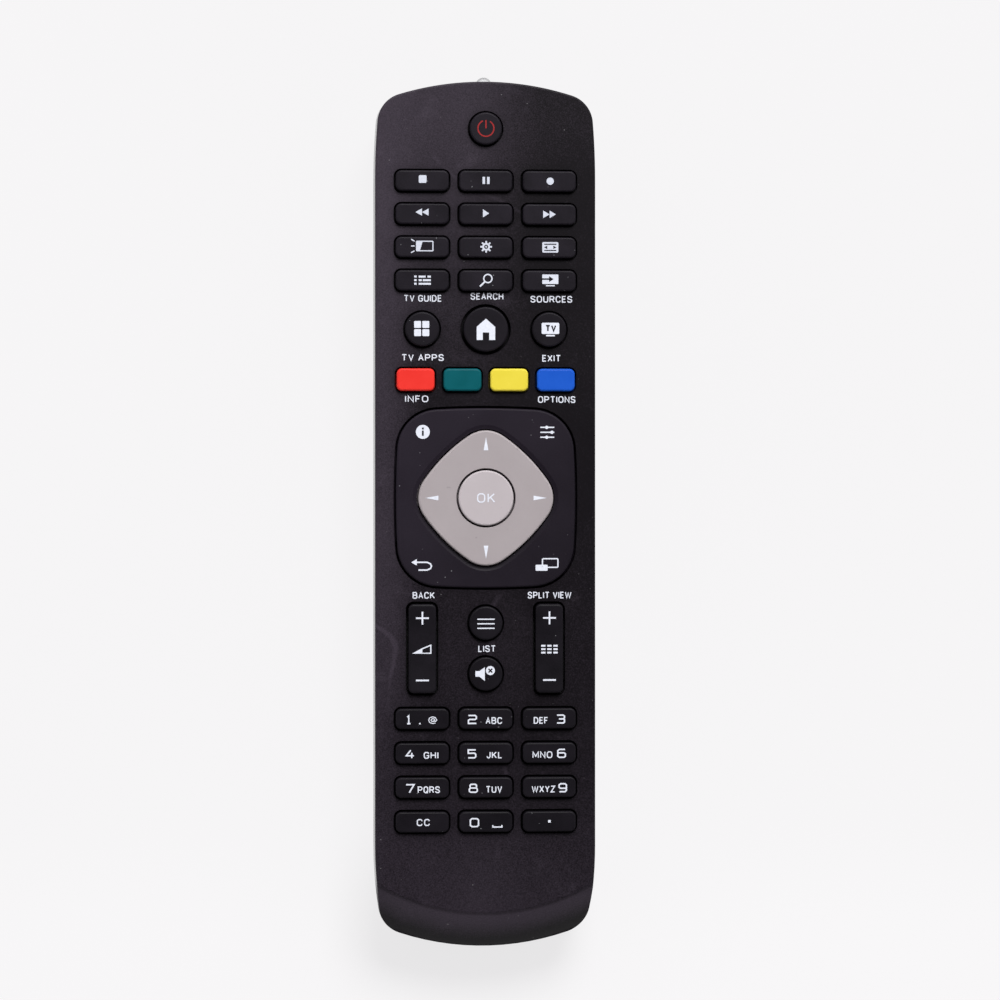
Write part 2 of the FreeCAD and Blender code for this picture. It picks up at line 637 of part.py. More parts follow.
# Snap tongues: a root on the cover's wall, a leg into the rear shell and its barb
leg_middle = "(case_half_width - wall - tongue_gap - snap_thickness / 2)"
root = new_sketch(inside, "snap_root", "(case_half_width - wall - tongue_gap)", "snap_first", "roof")
rectangle(root, "(snap_thickness * 2)", "snap_width")
leg = new_sketch(inside, "snap_leg", leg_middle, "snap_first", "roof")
rectangle(leg, "snap_thickness", "snap_width")
barb = new_sketch(inside, "snap_barb", f"({leg_middle} + snap_barb)", "snap_first",
                  "(seam_height - snap_depth)")
rectangle(barb, "snap_thickness", "snap_width")
snap = [
    pad(inside, root, "roof - seam_height - seam_gap", down=True),
    pad(inside, leg, "roof - seam_height + snap_depth", down=True),
    pad(inside, barb, "snap_barb * 1.5"),
]
grid(inside, snap, [("Y_Axis", 3, "snap_pitch"), ("YZ_Plane",)])
combine(cover, "Cut", openings)
combine(cover, "Fuse", inside)


# Rear shell: the glossy lower moulding, its battery bay, door seat and board posts
shell = new_body("rear_shell")
rear_blank(shell, "0")
room = new_body("rear_shell_room")
rear_blank(room, "wall")
combine(shell, "Cut", room)

fittings = new_body("shell_fittings")
fittings.AllowCompound = True
sketch = new_sketch(fittings, "door_seat", "0", "(door_head - seat_length / 2 + seat_margin)",
                    "seat_foot")
rectangle(sketch, "((door_half_width + seat_margin) * 2)", "seat_length")
pad(fittings, sketch, "ledge_top - seat_foot")
sketch = new_sketch(fittings, "bay_box", "0", "(bay_head - bay_length / 2)", "seat_foot")
rectangle(sketch, "((bay_half + bay_wall) * 2)", "(bay_length + bay_wall * 2)")
pad(fittings, sketch, "bay_roof + bay_wall - seat_foot")
sketch = new_sketch(fittings, "bay_rib", "0", "(bay_tail + rib_width)", "bay_roof")
rectangle(sketch, "((bay_half + bay_wall) * 2)", "rib_width")
first = pad(fittings, sketch, "board_bottom - bay_roof")
grid(fittings, [first], [("Y_Axis", 4, "(bay_length / 3 - rib_width)")])
sketch = new_sketch(fittings, "post", "-post_x", "post_y", "post_foot")
circle(sketch, "post_diameter")
first = pad(fittings, sketch, "board_bottom - post_foot")
grid(fittings, [first], [("X_Axis", 2, "post_x * 2"), ("Y_Axis", 2, "post_pitch")])
combine(shell, "Fuse", fittings)

hollows = new_body("shell_hollows")
hollows.AllowCompound = True
sketch = new_sketch(hollows, "bay", "0", "(bay_head - bay_length / 2)", "-cut_margin")
rectangle(sketch, "(bay_half * 2)", "bay_length")
pad(hollows, sketch, "bay_roof + cut_margin")
sketch = new_sketch(hollows, "door_recess", "0", "(door_head - case_tail / 2)", "-cut_margin")
rectangle(sketch, "(door_half_width * 2)", "case_tail")
pad(hollows, sketch, "door_thickness + door_gap + cut_margin")
groove_foot = "(door_thickness - tongue_thickness - door_gap)"
sketch = new_sketch(hollows, "tongue_groove", "0", "(door_head - case_tail / 2)", groove_foot)
rectangle(sketch, "((door_half_width + tongue_reach + door_gap) * 2)", "case_tail")
pad(hollows, sketch, "tongue_thickness + door_gap * 2")
sketch = new_sketch(hollows, "release_notch", "0",
                    "(door_head - tongue_first - door_stroke - tongue_pitch * 2)", "-cut_margin")
rectangle(sketch, "((door_half_width + tongue_reach + door_gap) * 2)",
          "(tongue_length + door_gap * 4)")
first = pad(hollows, sketch, "door_thickness + cut_margin")
grid(hollows, [first], [("Y_Axis", 3, "tongue_pitch")])
sketch = new_sketch(hollows, "head_slot", "0", "door_head", groove_foot)
rectangle(sketch, "(head_tab_width + door_gap * 2)", "((tongue_reach + door_gap) * 2)")
pad(hollows, sketch, "tongue_thickness + door_gap * 2")
sketch = new_sketch(hollows, "snap_window", "(case_half_width - wall)", "snap_first",
                    "(seam_height - snap_depth - tongue_gap)")
rectangle(sketch, "((snap_barb + tongue_gap) * 2)", "(snap_width + tongue_gap * 4)")
first = pad(hollows, sketch, "snap_barb * 1.5 + tongue_gap * 2")
grid(hollows, [first], [("Y_Axis", 3, "snap_pitch"), ("YZ_Plane",)])
sketch = new_sketch(hollows, "lens_bore", "0", "seam_height", "-case_nose", "XZ_Plane")
circle(sketch, "lens_seat")
pad(hollows, sketch, "wall * 3").Midplane = True
combine(shell, "Cut", hollows)

# The upper half of the lens bore is in the front cover
bore = new_body("cover_lens_bore")
sketch = new_sketch(bore, "upper_lens_bore", "0", "seam_height", "-case_nose", "XZ_Plane")
circle(sketch, "lens_seat")
pad(bore, sketch, "wall * 3").Midplane = True
combine(cover, "Cut", bore)

# Battery door: flush with the shell, cut from the same form, slides towards -Y
door = new_body("battery_door")
rear_blank(door, "0")
frame = new_sketch(door, "door_outside", z="(seam_height + cut_margin)")
rectangle(frame, "(case_half_width * 3)", "(case_tail * 3)")
half, head = number("door_half_width - door_gap"), number("door_head - door_gap")
far = number("case_tail * 1.2")
corners = [(-half, -far), (half, -far), (half, head), (-half, head)]
frame.addGeometry([line(corners[i], corners[(i + 1) % 4]) for i in range(4)])
for index in range(4):
    frame.addConstraint(Sketcher.Constraint("Coincident", 4 + index, 2, 4 + (index + 1) % 4, 1))
    frame.addConstraint(Sketcher.Constraint(("Horizontal", "Vertical")[index % 2], 4 + index))
pin(frame, Sketcher.Constraint("DistanceX", 4, 1, 4, 2, 2 * half), "(door_half_width - door_gap) * 2")
pin(frame, Sketcher.Constraint("DistanceX", 4, 1, -1, 1, half), "door_half_width - door_gap")
pin(frame, Sketcher.Constraint("DistanceY", 6, 1, -1, 1, -head), "door_gap - door_head")
pin(frame, Sketcher.Constraint("DistanceY", 4, 1, -1, 1, far), "case_tail * 1.2")
pocket(door, frame, "seam_height + cut_margin * 2")
upper = new_sketch(door, "door_upper", z="(seam_height + cut_margin)")
rectangle(upper, "(case_half_width * 3)", "(case_tail * 3)")
pocket(door, upper, "seam_height + cut_margin - door_thickness")
tongue = new_sketch(door, "door_tongue", "0", "(door_head - tongue_first - tongue_pitch * 2)",
                    "(door_thickness - tongue_thickness)")
rectangle(tongue, "((door_half_width + tongue_reach) * 2)", "tongue_length")
first = pad(door, tongue, "tongue_thickness")
grid(door, [first], [("Y_Axis", 3, "tongue_pitch")])
tab = new_sketch(door, "head_tab", "0", "(door_head - door_gap)",
                 "(door_thickness - tongue_thickness)")
rectangle(tab, "head_tab_width", "(tongue_reach * 2)")
pad(door, tab, "tongue_thickness")
grip = new_sketch(door, "thumb_groove", "0", "(door_head - tongue_first + grip_pitch)", "grip_depth")
rectangle(grip, "grip_width", "grip_groove")
first = pocket(door, grip, "grip_depth * 2")
grid(door, [first], [("Y_Axis", 5, "grip_pitch")])

# Keys: a cap through the face, a lip under it and a plunger over its contact
made = {}


def place(body, x="0", y="0", z="roof", turn=0):
    """Put a piece at its place in the case, turned about Z."""
    body.Placement = FreeCAD.Placement(V(0, 0, 0), FreeCAD.Rotation(V(0, 0, 1), turn))
    for axis, text in (("x", x), ("y", y), ("z", z)):
        if text != "0":
            body.setExpression("Placement.Base." + axis, bound(text))
    made[body.Label] = body


def key(name, x, y, draw, sizes, lip_sizes, plunger):
    body = new_body(name)
    sketch = new_sketch(body, name + "_cap")
    draw(sketch, *sizes)
    pad(body, sketch, "wall + key_rise")
    lip = new_sketch(body, name + "_lip")
    rectangle(lip, *lip_sizes)
    pad(body, lip, "key_flange", down=True)
    foot = new_sketch(body, name + "_plunger", z="-key_flange")
    rectangle(foot, *plunger)
    pad(body, foot, "plunger_end - key_flange", down=True)
    place(body, x, y)


def lipped(size):
    return f"({size} + flange_lip * 2)"


PLUNGER_SQUARE = ("round_plunger", "round_plunger")
PLUNGER_BAR = ("bar_plunger_width", "bar_plunger_height")
BAR = (rounded_rectangle, ("bar_width", "bar_height", "bar_corner"),
       (lipped("bar_width"), lipped("bar_height")), PLUNGER_BAR)
COLOUR = (rounded_rectangle, ("colour_width", "colour_height", "colour_corner"),
          (lipped("colour_width"), lipped("colour_height")), PLUNGER_SQUARE)
FUNCTIONS = [
    ("key_stop", "key_pause", "key_record"),
    ("key_rewind", "key_play", "key_forward"),
    ("key_lamp", "key_settings", "key_picture"),
    ("key_guide", "key_search", "key_source"),
]
NUMBERS = [
    ("key_1", "key_2", "key_3"),
    ("key_4", "key_5", "key_6"),
    ("key_7", "key_8", "key_9"),
    ("key_captions", "key_0", "key_dot"),
]
contacts = []


def with_contact(name, x, y, draw, sizes, lip_sizes, plunger):
    key(name, x, y, draw, sizes, lip_sizes, plunger)
    contacts.append((x, y, *plunger))


for rows, top, pitch in ((FUNCTIONS, "function_top", "function_pitch"),
                         (NUMBERS, "number_top", "number_pitch")):
    for row, names in enumerate(rows):
        for column, name in enumerate(names):
            with_contact(name, f"(column_pitch * {column - 1})", f"({top} - {pitch} * {row})", *BAR)
for column, name in enumerate(("key_red", "key_green", "key_yellow", "key_blue")):
    with_contact(name, f"(colour_pitch * {column - 1.5})", "colour_y", *COLOUR)
for name, x, y, diameter in (
    ("key_power", "0", "power_y", "power_diameter"),
    ("key_apps", "-column_pitch", "round_y", "round_diameter"),
    ("key_home", "0", "round_y", "home_diameter"),
    ("key_exit", "column_pitch", "round_y", "round_diameter"),
    ("key_list", "0", "list_y", "small_round_diameter"),
    ("key_mute", "0", "mute_y", "small_round_diameter"),
):
    lip = lipped(diameter)
    with_contact(name, x, y, circle, (diameter,), (lip, lip), PLUNGER_SQUARE)

# Rockers: each tilts on a bar that bears against the inside of the face
for name, x in (("volume_rocker", "-column_pitch"), ("channel_rocker", "column_pitch")):
    body = new_body(name)
    sketch = new_sketch(body, name + "_cap", z="-key_flange")
    rounded_rectangle(sketch, "rocker_width", "rocker_length", "rocker_corner")
    cap = pad(body, sketch, "key_flange + wall + rocker_rise")
    document.recompute()
    bevel(body, cap, level_edges(cap.Shape, number("wall + rocker_rise")), "key_chamfer")
    bar = new_sketch(body, name + "_bar", "0", "-rocker_pivot", "0", "YZ_Plane")
    circle(bar, "(rocker_pivot * 2)")
    pad(body, bar, "rocker_width + rocker_ear * 2").Midplane = True
    foot = new_sketch(body, name + "_foot", "0", "rocker_reach", "-key_flange")
    rectangle(foot, "round_plunger", "bar_plunger_height")
    first = pad(body, foot, "stack_space - pad_thickness - rocker_stroke - key_flange", down=True)
    mirrored(body, [first], "XZ_Plane")
    place(body, x, "rocker_y")
    for side in ("+", "-"):
        contacts.append((x, f"(rocker_y {side} rocker_reach)", "round_plunger",
                         "bar_plunger_height"))


def tilting_cap(name, half, side_arc, corner, foot, rise, skirt, turn):
    """A hollow cap with a lip round its foot: the corner plate and the ring."""
    body = new_body(name)

    def level(part, extra, z):
        sketch = new_sketch(body, f"{name}_{part}", z=z)
        bulged_square(sketch, f"({half} + {extra})", f"({side_arc} + {extra})",
                      f"({corner} + {extra})")
        return sketch

    cap = pad(body, level("cap", "0", f"-{foot}"), f"{foot} + wall + {rise}")
    document.recompute()
    top = level_edges(cap.Shape, number(f"wall + {rise}"))
    bevel(body, cap, top, "ring_bevel")
    pad(body, level("lip", "flange_lip", f"-{foot}"), "key_flange")
    hollow = level("hollow", f"(0 - {skirt})", f"-{foot}")
    pocket(body, hollow, f"{foot} + rocking_roof", up=True)
    place(body, "0", "pad_y", turn=turn)
    return body


plate = tilting_cap("corner_plate", "plate_half", "plate_side_arc", "plate_corner",
                    "plate_foot", "plate_rise", "plate_skirt", 0)
hole = new_sketch(plate, "ring_hole", z="(wall + plate_rise)")
hole.AttachmentOffset = FreeCAD.Placement(V(0, 0, 0), FreeCAD.Rotation(V(0, 0, 1), 45))
hole.setExpression("AttachmentOffset.Base.z", bound("wall + plate_rise"))
bulged_square(hole, "(ring_half + plate_gap)", "(ring_side_arc + plate_gap)",
              "(ring_corner + plate_gap)")
through = pocket(plate, hole, "wall + plate_rise + plate_foot")
document.recompute()
plate_top = number("wall + plate_rise")
reach = number("ring_half") * 1.25


def on_dish(point):
    return abs(point.z - plate_top) < 1e-4 and math.hypot(point.x, point.y) < reach


bevel(plate, through, edges_where(through.Shape, on_dish), "dish_depth", "dish_width")

ring = tilting_cap("navigation_ring", "ring_half", "ring_side_arc", "ring_corner",
                   "ring_foot", "ring_rise", "ring_skirt", 45)
hole = new_sketch(ring, "ok_hole", z="(wall + ring_rise)")
circle(hole, "(ok_diameter + ok_gap * 2)")
pocket(ring, hole, "wall + ring_rise + ring_foot")

ok = new_body("key_ok")
sketch = new_sketch(ok, "ok_cap")
circle(sketch, "ok_diameter")
cap = pad(ok, sketch, "wall + ok_rise")
document.recompute()
bevel(ok, cap, level_edges(cap.Shape, number("wall + ok_rise")), "key_chamfer")
sketch = new_sketch(ok, "ok_lip")
circle(sketch, "(ok_diameter + ok_gap * 2 + flange_lip * 2)")
pad(ok, sketch, "key_flange", down=True)
sketch = new_sketch(ok, "ok_plunger", z="-key_flange")
rectangle(sketch, *PLUNGER_SQUARE)
pad(ok, sketch, "plunger_end - key_flange", down=True)
place(ok, "0", "pad_y")
contacts.append(("0", "pad_y", *PLUNGER_SQUARE))


def octagon(sketch, flat):
    """A regular octagon, given by the distance from its middle to a side."""
    eighth = math.pi / 4
    reach = f"({flat}) / {math.cos(eighth / 2)}"
    corners = [(number(reach) * math.cos(eighth * (k - 0.5)),
                number(reach) * math.sin(eighth * (k - 0.5))) for k in range(8)]
    sketch.addGeometry([line(corners[k], corners[(k + 1) % 8]) for k in range(8)])
    sketch.addGeometry(Part.Circle(V(0, 0, 0), V(0, 0, 1), number(reach)), True)
    sketch.addConstraint(Sketcher.Constraint("Coincident", 8, 3, -1, 1))
    for index in range(8):
        sketch.addConstraint(Sketcher.Constraint("Coincident", index, 2, (index + 1) % 8, 1))
        sketch.addConstraint(Sketcher.Constraint("PointOnObject", index, 1, 8))
    for index in range(1, 8):
        sketch.addConstraint(Sketcher.Constraint("Equal", 0, index))
    sketch.addConstraint(Sketcher.Constraint("Vertical", 0))
    pin(sketch, Sketcher.Constraint("Radius", 8, number(reach)), reach)


def rocking_ring(name, inner, outer, turn):
    """A rubber frame with a bar across below and one above, square to each other."""
    body = new_body(name)
    sketch = new_sketch(body, name + "_band", z="-bar_pivot")
    octagon(sketch, outer)
    pad(body, sketch, "rocking_web")
    for part, role, height, axis in (("lower_bar", "YZ_Plane", "-bar_pivot", "YZ_Plane"),
                                     ("upper_bar", "XZ_Plane", "(rocking_web - bar_pivot)",
                                      "XZ_Plane")):
        bar = new_sketch(body, f"{name}_{part}", "0", height, "0", role)
        circle(bar, "(rocking_bar * 2)")
        pad(body, bar, f"{outer} * 2 - rocking_bar").Midplane = True
    hole = new_sketch(body, name + "_hole", z="(rocking_web - bar_pivot + rocking_bar)")
    octagon(hole, inner)
    pocket(body, hole, "rocking_web + rocking_bar * 2")
    place(body, "0", "pad_y", turn=turn)


rocking_ring("ring_rocker", "ring_rocker_inner", "ring_rocker_outer", 0)
rocking_ring("plate_rocker", "plate_rocker_inner", "plate_rocker_outer", 45)

# Circuit board and the rubber mat on it, with an opening under every plunger
def sheet_plan(name, foot, thickness):
    """A flat piece that follows the plan of the case inside the shells."""
    body = new_body(name)
    sketch = new_sketch(body, name + "_plan", z=foot)
    case_outline(sketch, "board_margin", "face_tail", "(case_nose - lens_seat)")
    pad(body, sketch, thickness)
    return body


made["circuit_board"] = sheet_plan("circuit_board", "board_bottom", "board_thickness")
windows = []
for index, (x, y, width, height) in enumerate(contacts):
    window = document.addObject("Part::Box", f"mat_window_{index}")
    across, along = f"({width} + mat_gap * 2)", f"({height} + mat_gap * 2)"
    for name, text in (
        ("Length", across), ("Width", along), ("Height", "mat_thickness + cut_margin * 2"),
        ("Placement.Base.x", f"{x} - {across} / 2"), ("Placement.Base.y", f"{y} - {along} / 2"),
        ("Placement.Base.z", "board_top - cut_margin"),
    ):
        window.setExpression(name, bound(text))
    windows.append(window)
group = document.addObject("Part::Compound", "mat_windows")
group.Links = windows
mat = document.addObject("Part::Cut", "key_mat")
mat.Label = "key_mat"
mat.Base = sheet_plan("mat_sheet", "board_top", "mat_thickness")
mat.Tool = group
made["key_mat"] = mat


def plain(name, solids):
    """A piece, or a group of like pieces, built straight from the sheet's sizes."""
    feature = document.addObject("Part::Feature", name)
    feature.Label = name
    feature.Shape = solids[0] if len(solids) == 1 else Part.makeCompound(solids)
    made[name] = feature


def block(width, depth, height, x, y, z):
    """A box centred on x and y, standing on z."""
    return Part.makeBox(width, depth, height, V(x - width / 2, y - depth / 2, z))


# Carbon contacts: one under each plunger
plain("contact_pads", [
    block(number(width), number(height), number("pad_thickness"), number(x), number(y),
          number("board_top"))
    for x, y, width, height in contacts
])

# Electronics on the underside of the board, clear of the battery bay
under = number("board_bottom")


def mounted(width, depth, height, x, y):
    return block(width, depth, height, x, y, under - height)


plain("controller_chip", [mounted(number("chip_width"), number("chip_length"),
                                  number("chip_height"), 0, number("chip_y"))])
plain("resonator", [mounted(number("resonator_width"), number("resonator_depth"),
                            number("resonator_height"), 0,
                            number("chip_y + chip_length"))])
plain("transistor", [mounted(number("transistor_width"), number("transistor_depth"),
                             number("transistor_height"), number("chip_width"),
                             number("chip_y + chip_length * 2"))])
can = Part.makeCylinder(
    number("can_diameter / 2"), number("can_length"),
    V(number("-chip_width * 1.6"), number("chip_y + chip_length"),
      number("board_bottom - can_diameter / 2")),
    V(0, 1, 0))
plain("capacitor", [can])
plain("smd_parts", [
    mounted(number("smd_width"), number("smd_length"), number("smd_height"),
            number("chip_width") * side, number("chip_y") + number("smd_length") * 3 * step)
    for side in (-1, 1) for step in range(4)
])

# Infrared diode: a clear dome on a barrel, its collar and two legs under the board
lens = new_body("ir_led")
profile = new_sketch(lens, "lens_profile", role="XY_Plane")
radius, dome = number("lens_diameter / 2"), number("lens_diameter / 2")
tip = number("case_nose + lens_proud")
foot = tip - number("lens_length")
collar = radius + number("lens_collar")
lip = foot + number("lens_collar")
profile.addGeometry([
    line((0, foot), (collar, foot)),
    line((collar, foot), (collar, lip)),
    line((collar, lip), (radius, lip)),
    line((radius, lip), (radius, tip - dome)),
    arc((0, tip - dome), dome, 0, math.pi / 2),
    line((0, tip), (0, foot)),
])
for index in (0, 1, 2, 4, 5):
    profile.addConstraint(Sketcher.Constraint("Coincident", index, 2, (index + 1) % 6, 1))
for index in (0, 2):
    profile.addConstraint(Sketcher.Constraint("Horizontal", index))
for index in (1, 3):
    profile.addConstraint(Sketcher.Constraint("Vertical", index))
profile.addConstraint(Sketcher.Constraint("PointOnObject", 4, 3, -2))
profile.addConstraint(Sketcher.Constraint("PointOnObject", 0, 1, -2))
profile.addConstraint(Sketcher.Constraint("PointOnObject", 4, 2, -2))
profile.addConstraint(Sketcher.Constraint("Tangent", 3, 2, 4, 1))
pin(profile, Sketcher.Constraint("Radius", 4, radius), "lens_diameter / 2")
pin(profile, Sketcher.Constraint("DistanceX", -1, 1, 0, 2, collar),
    "lens_diameter / 2 + lens_collar")
pin(profile, Sketcher.Constraint("DistanceY", 1, 1, 1, 2, lip - foot), "lens_collar")
pin(profile, Sketcher.Constraint("DistanceY", -1, 1, 4, 2, tip), "case_nose + lens_proud")
pin(profile, Sketcher.Constraint("DistanceY", 5, 2, 5, 1, tip - foot), "lens_length")
turned = lens.newObject("PartDesign::Revolution", "lens_turned")
turned.Profile = profile
turned.ReferenceAxis = (profile, ["V_Axis"])
turned.Angle = 360
leg_y = "(case_nose + lens_proud - lens_length - lens_leg_length / 2)"
legs = new_sketch(lens, "lens_legs", "-lens_pitch / 2", leg_y,
                  "(board_bottom - seam_height - lens_leg)")
rectangle(legs, "lens_leg", "(lens_leg_length + lens_leg)")
first = pad(lens, legs, "lens_leg")
mirrored(lens, [first], "YZ_Plane")
place(lens, z="seam_height")

# Cells lie side by side, opposite ways round
for name, side, way in (("battery_1", -1, 1), ("battery_2", 1, -1)):
    cell = document.addObject("Part::MultiFuse", name)
    cell.Label = name
    shapes = []
    for part, diameter, start, length in (
        ("can", "cell_diameter", "0", "cell_length"),
        ("nub", "nub_diameter", "cell_length", "nub_length"),
    ):
        cylinder = document.addObject("Part::Cylinder", f"{name}_{part}")
        cylinder.setExpression("Radius", bound(f"{diameter} / 2"))
        cylinder.setExpression("Height", bound(length))
        cylinder.Placement = FreeCAD.Placement(V(0, 0, 0), FreeCAD.Rotation(V(1, 0, 0), -90 * way))
        cylinder.setExpression("Placement.Base.y", bound(f"{start} * {way}"))
        shapes.append(cylinder)
    cell.Shapes = shapes
    end = "bay_head - contact_thickness" if way > 0 else "bay_tail + contact_thickness"
    back = "-" if way > 0 else "+"
    place(cell, f"cell_x * {side}", f"({end} {back} cell_length {back} nub_length)", "cell_axis")

# Stamped battery contacts: a plate on the bay's end wall, bent into a leaf spring
# where it meets a cell's flat end
def strip(points, x, y, way):
    """A bent strip standing in the bay, from its outline seen from above."""
    outline = Part.makePolygon([V(x + px, y + py * way, 0) for px, py in points + points[:1]])
    solid = Part.Face(outline).extrude(V(0, 0, number("contact_width")))
    solid.translate(V(0, 0, number("cell_axis - contact_width / 2")))
    return solid


half, thick = number("contact_width / 2"), number("contact_thickness")
leaf = number("bay_length - contact_thickness - cell_length - nub_length")
plate_points = [(-half, 0), (half, 0), (half, thick), (-half, thick)]
leaf_points = [
    (-half, 0), (half, 0), (half, thick), (-half + 3 * thick, thick),
    (0, leaf - thick), (half, leaf - 3 * thick), (half, leaf - 2 * thick),
    (thick, leaf), (-thick, leaf), (-half, 2 * thick),
]
side, tail_y, head_y = number("cell_x"), number("bay_tail"), number("bay_head")
plain("negative_contact", [strip(leaf_points, -side, tail_y, 1)])
plain("positive_contact", [strip(plate_points, side, tail_y, 1)])
link = [(-2 * side - half, 0), (-half, 0), (-half, thick), (-2 * side - half, thick)]
bridge = strip(leaf_points, side, head_y, -1).fuse(strip(link, side, head_y, -1))
plain("bridge_contact", [bridge.removeSplitter()])

for body in (cover, shell, door):
    made[body.Label] = body

document.recompute()
for item in document.Objects:
    if "Invalid" in item.State or "Error" in item.State:
        raise RuntimeError(f"{item.Name} did not build")
for name, item in made.items():
    if item.Shape.isNull() or not item.Shape.isValid():
        raise RuntimeError(f"{name} has no valid shape")

os.makedirs("parts", exist_ok=True)
for name, item in made.items():
    item.Shape.exportStep(f"parts/{name}.step")
print(len(made), "pieces written")
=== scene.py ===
import math

import bmesh
import bpy
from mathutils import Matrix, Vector


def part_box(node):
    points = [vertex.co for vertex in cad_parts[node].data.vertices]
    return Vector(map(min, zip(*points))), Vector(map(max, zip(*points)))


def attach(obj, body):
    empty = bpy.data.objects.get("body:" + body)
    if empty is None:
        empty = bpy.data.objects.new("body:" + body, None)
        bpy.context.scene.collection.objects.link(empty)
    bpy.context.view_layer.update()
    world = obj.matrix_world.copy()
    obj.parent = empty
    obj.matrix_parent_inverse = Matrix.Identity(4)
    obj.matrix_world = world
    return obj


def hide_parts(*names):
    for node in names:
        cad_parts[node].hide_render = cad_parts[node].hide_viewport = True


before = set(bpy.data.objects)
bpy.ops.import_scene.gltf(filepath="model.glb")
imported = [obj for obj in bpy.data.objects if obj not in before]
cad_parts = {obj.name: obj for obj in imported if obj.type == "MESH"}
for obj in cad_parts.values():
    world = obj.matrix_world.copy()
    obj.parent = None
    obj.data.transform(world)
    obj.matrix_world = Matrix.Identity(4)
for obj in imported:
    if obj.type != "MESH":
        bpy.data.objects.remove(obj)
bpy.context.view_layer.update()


# Front cover. The matte upper moulding: one closed skin from the seam up to the key face,
# with a sloping chin at the battery end, cut through by one opening for each key.
# It is screwless and snaps on to the rear shell.
MM = 0.001
ROUND_STEPS, DISC_STEPS, SIDE_STEPS = 6, 64, 8
cover_low, cover_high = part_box("front_cover")
face = cover_high.z / MM
half_width, nose, tail = cover_high.x / MM, cover_high.y / MM, -cover_low.y / MM
face_draft, face_round, cover_wall = 0.2, 0.45, 1.8
roof = face - cover_wall
seam_top = 15.05
inner_shoulder = 17.5
crease_setback, crease_arc = 8.6, 49.4
rim_bevel = 0.07
CLEAR = 1.0


def turned(centre, radius, start, end, steps):
    """Points along an arc, without its last one."""
    return [(centre[0] + radius * math.cos(start + (end - start) * k / steps),
             centre[1] + radius * math.sin(start + (end - start) * k / steps))
            for k in range(steps)]


def case_plan(inset=0, tail_at=None):
    """The plan of the case, drawn in by the inset, with its battery end at a given distance."""
    tail_arc, tail_flank_arc, tail_flank = 62.0, 95.0, 24.0
    nose_arc, nose_flank_arc, nose_flank = 68.0, 170.0, 23.0
    corner = 7.2 - inset
    side = half_width - inset
    foot = tail if tail_at is None else tail_at

    def end(apex, sign, end_arc, flank_arc, flank_y):
        # The corner's centre is where its distances from the two arcs' centres meet
        middle = Vector((0, apex - sign * end_arc))
        flank = Vector((side - flank_arc, flank_y))
        far, near = end_arc - corner, flank_arc - corner
        gap = (middle - flank).length
        along = (near**2 - far**2 + gap**2) / (2 * gap)
        aside = math.sqrt(near**2 - along**2)
        axis = (middle - flank) / gap
        across = Vector((-axis.y, axis.x))
        centre = max((flank + axis * along + across * s for s in (aside, -aside)),
                     key=lambda point: point.x)
        low_turn = math.atan2(centre.y - flank.y, centre.x - flank.x)
        high_turn = math.atan2(centre.y - middle.y, centre.x - middle.x)
        return flank, flank_arc, low_turn, centre, high_turn, middle, end_arc

    up = end(nose - inset, 1, nose_arc - inset, nose_flank_arc - inset, nose - nose_flank)
    down = end(inset - foot, -1, tail_arc - inset, tail_flank_arc - inset, tail_flank - foot)
    pi = math.pi
    climb = [(up[0].y - down[0].y) * k / SIDE_STEPS for k in range(SIDE_STEPS)]
    points = [(side, down[0].y + rise) for rise in climb]
    points += turned(up[0], up[1], 0, up[2], 6)
    points += turned(up[3], corner, up[2], up[4], 14)
    points += turned(up[5], up[6], up[4], pi - up[4], 24)
    points += turned((-up[3].x, up[3].y), corner, pi - up[4], pi - up[2], 14)
    points += turned((-up[0].x, up[0].y), up[1], pi - up[2], pi, 6)
    points += [(-side, up[0].y - rise) for rise in climb]
    points += turned((-down[0].x, down[0].y), down[1], pi, pi - down[2], 6)
    points += turned((-down[3].x, down[3].y), corner, pi - down[2], pi - down[4], 14)
    points += turned(down[5], down[6], pi - down[4], 2 * pi + down[4], 24)
    points += turned(down[3], corner, down[4], down[2], 14)
    points += turned(down[0], down[1], down[2], 0, 6)
    return points


def skinned(name, loops):
    """A closed solid through loops of points in millimetres, capped at both ends."""
    mesh = bmesh.new()
    loops = [[mesh.verts.new(Vector(point) * MM) for point in loop] for loop in loops]
    count = len(loops[0])
    for low, high in zip(loops, loops[1:]):
        for k in range(count):
            mesh.faces.new((low[k], low[(k + 1) % count], high[(k + 1) % count], high[k]))
    mesh.faces.new(loops[0][::-1])
    mesh.faces.new(loops[-1])
    bmesh.ops.recalc_face_normals(mesh, faces=mesh.faces)
    return meshed(name, mesh)


def lofted(name, rings):
    """A closed solid through rings of (plan, height) in millimetres, lowest ring first."""
    loops = []
    for plan, height in rings:
        heights = height if isinstance(height, list) else [height] * len(plan)
        loops.append([(x, y, z) for (x, y), z in zip(plan, heights)])
    return skinned(name, loops)


def meshed(name, mesh):
    """An object made of a bmesh, in the scene."""
    data = bpy.data.meshes.new(name)
    mesh.to_mesh(data)
    mesh.free()
    piece = bpy.data.objects.new(name, data)
    bpy.context.scene.collection.objects.link(piece)
    return piece


def applied(piece, step):
    """Make a modifier's result the piece's own mesh."""
    bpy.context.view_layer.update()
    result = bpy.data.meshes.new_from_object(
        piece.evaluated_get(bpy.context.evaluated_depsgraph_get()))
    piece.modifiers.remove(step)
    piece.data = result


def cut_out(piece, cutter):
    """Cut one solid out of another and drop the cutter."""
    step = piece.modifiers.new("openings", "BOOLEAN")
    step.operation = "DIFFERENCE"
    step.solver = "EXACT"
    step.object = cutter
    applied(piece, step)
    bpy.data.objects.remove(cutter)


